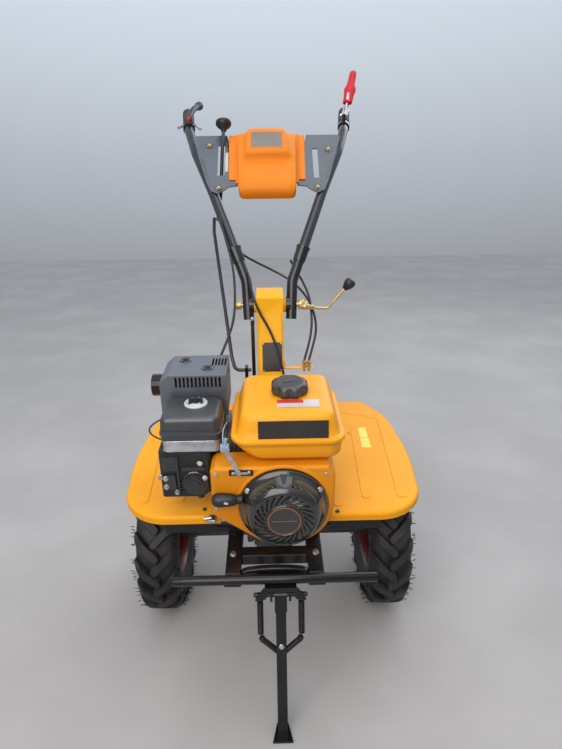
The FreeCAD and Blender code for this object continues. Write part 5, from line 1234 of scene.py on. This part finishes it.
for width, up_low, up_high, lift, depth in ((0.1065, 0.026, 0.200, 0, 0.0030), (0.0880, 0.010, 0.1985, 0.0004, 0.0071)):
    flange = pressed([(-width + 0.0035, up_low), (width - 0.0035, up_low), (width, up_high), (-width, up_high)], depth, 0.0012, 2)
    flange.matrix_world = on_slope(dash_side, 0, dash_seat + lift)
    flanges.append(flange)
for side in (-0.052, -0.018, 0.018, 0.052):
    rib = chunk((side - 0.0015, 0.030, -0.0040), (side + 0.0015, 0.190, 0.0006), 0.0006)
    rib.matrix_world = on_slope(dash_side, 0, dash_seat)
    flanges.append(rib)
settle(joined([hood] + flanges), "dash_cover", "handlebar", dash_paint, "dash_box")
label_half, label_low, label_high = 0.0415, 0.0945, 0.1520
frame_bars = []
for low, high in (((-label_half - 0.003, label_low - 0.003), (label_half + 0.003, label_low)),
                  ((-label_half - 0.003, label_high), (label_half + 0.003, label_high + 0.003)),
                  ((-label_half - 0.003, label_low), (-label_half, label_high)),
                  ((label_half, label_low), (label_half + 0.003, label_high))):
    piece = chunk((low[0], low[1], 0), (high[0], high[1], 0.0016), 0.0007)
    piece.matrix_world = on_slope(dash_side, 0, dash_seat + 0.0500)
    frame_bars.append(piece)
settle(joined(frame_bars), "label_frame", "handlebar", dash_paint)
label_grey = finish("label_grey", (0.19, 0.175, 0.165), (0.235, 0.215, 0.20), (0.4, 0.6), grain=300, slot="grey_plate")
label = pressed([(-label_half, label_low), (label_half, label_low), (label_half, label_high), (-label_half, label_high)],
                0.0008, 0.0002)
label.matrix_world = on_slope(dash_side, 0, dash_seat + 0.0503)
settle(label, "dash_label", "handlebar", label_grey)

# Clutch lever: a steel fork clamped on the left handlebar carries a long lever in a moulded red sleeve.
# The sleeve swells in the middle, and its lower part holds a bare pale patch.


def clamp_ring(sign, along):
    """A split ring round a handlebar's straight end, with its ear."""
    centre, direction = bar_end(sign, along)
    band_ring = turned([(0, 0.0136), (0, 0.0170), (0.0008, 0.0176), (0.0192, 0.0176), (0.020, 0.0170), (0.020, 0.0136)],
                       centre, direction, 36)
    ear = chunk(centre + Vector((-0.006, 0.002, 0.012)), centre + Vector((0.006, 0.018, 0.038)), 0.002, 0.1)
    return [band_ring, ear]


red_grip = finish("red_grip", (0.58, 0.010, 0.022), (0.66, 0.018, 0.032), (0.32, 0.46), grain=500, ior=1.35)
settle(joined(clamp_ring(1, 0.020)), "clutch_clamp", "handlebar", black_paint, "clutch_lever")
lever_route = [pivot + Vector(place) for place in ((0.230, 0.436, 0.440), (0.236, 0.456, 0.452), (0.241, 0.476, 0.466),
                                                   (0.250, 0.506, 0.500), (0.262, 0.540, 0.538))]
fork = [bent([place + Vector((offset, 0, 0)) for place in lever_route[:3]], 0.0026, sides=4) for offset in (-0.007, 0.007)]
fork.append(bent(lever_route, 0.0048, sides=5))
fork.append(turned([(-0.012, 0), (-0.012, 0.004), (-0.010, 0.0048), (0.010, 0.0048), (0.012, 0.004), (0.012, 0)],
                   lever_route[0] + Vector((0, 0.003, 0.002)), (1, 0, 0), 20))
settle(joined(fork), "clutch_fork", "handlebar", bright_steel)
sleeve_start, sleeve_end = pivot + Vector((0.2445, 0.484, 0.475)), pivot + Vector((0.271, 0.566, 0.567))
sleeve_axis = sleeve_end - sleeve_start
reach = sleeve_axis.length
SLEEVE = [(0, 0), (0, 0.0125), (0.01, 0.0142), (0.16, 0.0148), (0.28, 0.0158), (0.36, 0.0180), (0.43, 0.0178), (0.52, 0.0140),
          (0.64, 0.0120), (0.76, 0.0112), (0.88, 0.0112), (0.945, 0.0100), (0.985, 0.0062), (1.0, 0.0)]
sleeve = turned([(share * reach, radius) for share, radius in SLEEVE], (0, 0, 0), (0, 0, 1), 36)
for vertex in sleeve.data.vertices:
    vertex.co.y *= 0.62
sleeve.matrix_world = aimed(sleeve_start, sleeve_axis)
settle(sleeve, "clutch_sleeve", "handlebar", red_grip)
patch = pressed([(-0.0080, 0.004), (0.0080, 0.004), (0.0080, 0.031), (-0.0080, 0.031)], 0.0006, 0.0002)
patch_up = sleeve_axis.normalized()
patch_out = (Vector((0, -1, 0)) - patch_up * Vector((0, -1, 0)).dot(patch_up)).normalized()
patch_across = patch_up.cross(patch_out)
patch_turn = Matrix.Identity(4)
for row in range(3):
    patch_turn[row][0], patch_turn[row][1], patch_turn[row][2] = patch_across[row], patch_up[row], patch_out[row]
patch.matrix_world = Matrix.Translation(sleeve_start + patch_out * 0.0090) @ patch_turn
settle(patch, "sleeve_patch", "handlebar", pale_mark)

# Throttle lever: a moulded black thumb lever clamped on the right handlebar, with a red stop button
# and two bright cable adjusters.

blade_route = [pivot + Vector(place) for place in ((-0.229, 0.440, 0.440), (-0.222, 0.478, 0.458), (-0.216, 0.510, 0.468),
                                                   (-0.206, 0.548, 0.474))]
blade = bent(blade_route, 0.0085, sides=5)
blade_tip = turned([(-0.020, 0), (-0.020, 0.0080), (-0.008, 0.0120), (0.004, 0.0125), (0.009, 0.0090), (0.010, 0)],
                   blade_route[-1] - (blade_route[-1] - blade_route[-2]).normalized() * 0.006,
                   blade_route[-1] - blade_route[-2], 24)
housing = chunk(bar_end(-1, 0.030)[0] + Vector((-0.012, -0.016, 0.010)), bar_end(-1, 0.030)[0] + Vector((0.014, 0.014, 0.036)),
                0.005, 0.15)
settle(joined(clamp_ring(-1, 0.020) + [blade, blade_tip, housing]), "thumb_lever", "handlebar", black_plastic,
       "throttle_grip")
button_at = bar_end(-1, 0.030)[0] + Vector((0.004, -0.016, 0.026))
button = turned([(0, 0), (0, 0.0055), (0.004, 0.0055), (0.0052, 0.0040), (0.0055, 0)], button_at, (0.1, -1, 0.3), 20)
settle(button, "stop_button", "handlebar", red_grip)
adjuster = turned([(0, 0), (0, 0.0042), (0.006, 0.0042), (0.0062, 0.0030), (0.022, 0.0030), (0.0225, 0.0044), (0.028, 0.0044),
                   (0.028, 0)], steps=16)
adjuster_at = bar_end(-1, 0.022)[0]
adjusters = copied(adjuster, [aimed(adjuster_at + Vector((0.018, -0.004, 0.012)), (0.75, -0.75, -0.5)),
                              aimed(adjuster_at + Vector((-0.016, -0.008, 0.010)), (-0.4, -1, -0.2))])
settle(adjusters, "lever_adjusters", "handlebar", bright_steel)

# Gear lever: a bent rod through the gate with a mushroom knob; shift rod, arm and selector bar run down to the gearbox.

gear_route = [pivot + Vector(place) for place in ((-0.1375, 0.190, 0.183), (-0.1340, 0.210, 0.211), (-0.1290, 0.238, 0.250),
                                                  (-0.1275, 0.252, 0.275), (-0.1255, 0.272, 0.315), (-0.1240, 0.290, 0.350),
                                                  (-0.1225, 0.308, 0.375), (-0.1200, 0.333, 0.408))]
gear_knob = turned([(-0.018, 0), (-0.018, 0.0070), (-0.012, 0.0090), (-0.0060, 0.0170), (-0.001, 0.0210), (0.006, 0.0222),
                    (0.011, 0.0205), (0.0145, 0.0150), (0.0165, 0.0070), (0.0170, 0)], pivot + Vector((-0.120, 0.338, 0.419)),
                   (0, math.sin(math.radians(25)), math.cos(math.radians(25))), 40)
settle(gear_knob, "gear_knob", "handlebar", black_plastic)
settle(bent(gear_route, 0.005, sides=5), "gear_rod", "handlebar", tube_paint, "gear_lever")
dress("shift_rod", "link_rod", "shift_rod", tube_paint, 0.0004, 1, 25)
dress("shift_arm", "gearbox_arm", "root", black_paint, 0.0012)
bolts("arm_bolt", "root", [((-0.0705, 0.080, 0.318), (-1, 0, 0))], 0.0060, 0.005)
dress("selector_rod", "selector_bar", "root", tube_paint, 0.001)
selector_tip = turned([(0, 0), (0, 0.0050), (0.006, 0.0050), (0.0072, 0.0042), (0.0085, 0.0020), (0.0088, 0)],
                      (-0.044, 0.100, 0.5665), (0, 0, 1), 20)
settle(selector_tip, "selector_tip", "root", bright_steel)

# Cable stop: a small bent strip on the column that holds the brass adjusters of the clutch and brake cables.

stop_low, stop_high = level_box("cable_stop")
strip = pressed([(stop_low.x - 0.001, stop_low.y), (stop_high.x, stop_low.y), (stop_high.x, stop_high.y),
                 (stop_low.x - 0.001, stop_high.y)], 0.0032, 0.0008)
strip.matrix_world = Matrix.Translation((0, 0, stop_low.z + 0.001))
tab = chunk((stop_low.x - 0.001, stop_low.y, stop_low.z + 0.001), (stop_low.x + 0.003, stop_high.y, stop_high.z), 0.0012)
# The strip carries the column's brightened paint, which is painted light.
settle(joined([strip, tab]), "cable_bracket", "root", lit_column_paint, "cable_stop")
brass_adjuster = turned([(-0.010, 0), (-0.010, 0.0035), (0.0010, 0.0035), (0.0010, 0.0062), (0.0052, 0.0062), (0.0056, 0.0050),
                         (0.0120, 0.0050), (0.0124, 0.0064), (0.0168, 0.0064), (0.0172, 0.0042), (0.0215, 0.0040), (0.0216, 0)],
                        steps=6, smooth=20)
brass = copied(brass_adjuster, [Matrix.Translation((x, 0.092, stop_low.z + 0.0035)) for x in (0.086, 0.098)])
settle(brass, "cable_adjusters", "root", zinc)

# Control cables: steel wire in a black sheath, each held at both ends. They ride on no body and do not follow the
# handlebars as they tilt.

cable_sheath = finish("cable_sheath", (0.012, 0.012, 0.013), (0.022, 0.022, 0.023), (0.3, 0.45), grain=500)
cable_radius = 0.003
CABLES = {
    "throttle": [(-0.1247, 0.2662, 0.7868), (-0.112, 0.225, 0.751), (-0.090, 0.164, 0.690), (-0.084, 0.105, 0.635),
                 (-0.086, 0.055, 0.585), (-0.102, 0.020, 0.545), (-0.124, 0.002, 0.500), (-0.134, 0.0, 0.455),
                 (-0.142, -0.004, 0.415), (-0.154, -0.034, 0.399), (-0.163, -0.078, 0.396), (-0.166, -0.125, 0.388),
                 (-0.167, -0.1717, 0.386)],
    "clutch": [(-0.086, 0.2304, 0.716), (-0.060, 0.238, 0.694), (-0.030, 0.241, 0.677), (0.0, 0.240, 0.662),
               (0.030, 0.235, 0.647), (0.062, 0.224, 0.630), (0.096, 0.196, 0.600), (0.116, 0.162, 0.562),
               (0.119, 0.128, 0.526), (0.108, 0.104, 0.492), (0.098, 0.092, 0.4613)],
    "brake": [(0.055, 0.2025, 0.692), (0.068, 0.203, 0.666), (0.086, 0.190, 0.640), (0.102, 0.168, 0.606),
              (0.107, 0.144, 0.568), (0.106, 0.124, 0.534), (0.098, 0.104, 0.498), (0.086, 0.092, 0.4613)],
    "shift": [(-0.0542, 0.166, 0.6696), (-0.048, 0.138, 0.648), (-0.040, 0.111, 0.620), (-0.027, 0.101, 0.586),
              (-0.006, 0.098, 0.550), (0.010, 0.086, 0.515), (0.022, 0.072, 0.478), (0.031, 0.060, 0.440),
              (0.038, 0.052, 0.400), (0.042, 0.050, 0.3453)],
}
for name, places in CABLES.items():
    sheath = settle(bent(places, cable_radius, sides=4), "sheath_" + name, None, cable_sheath, "cable_" + name)
    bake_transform(sheath)

bpy.ops.object.select_all(action="DESELECT")
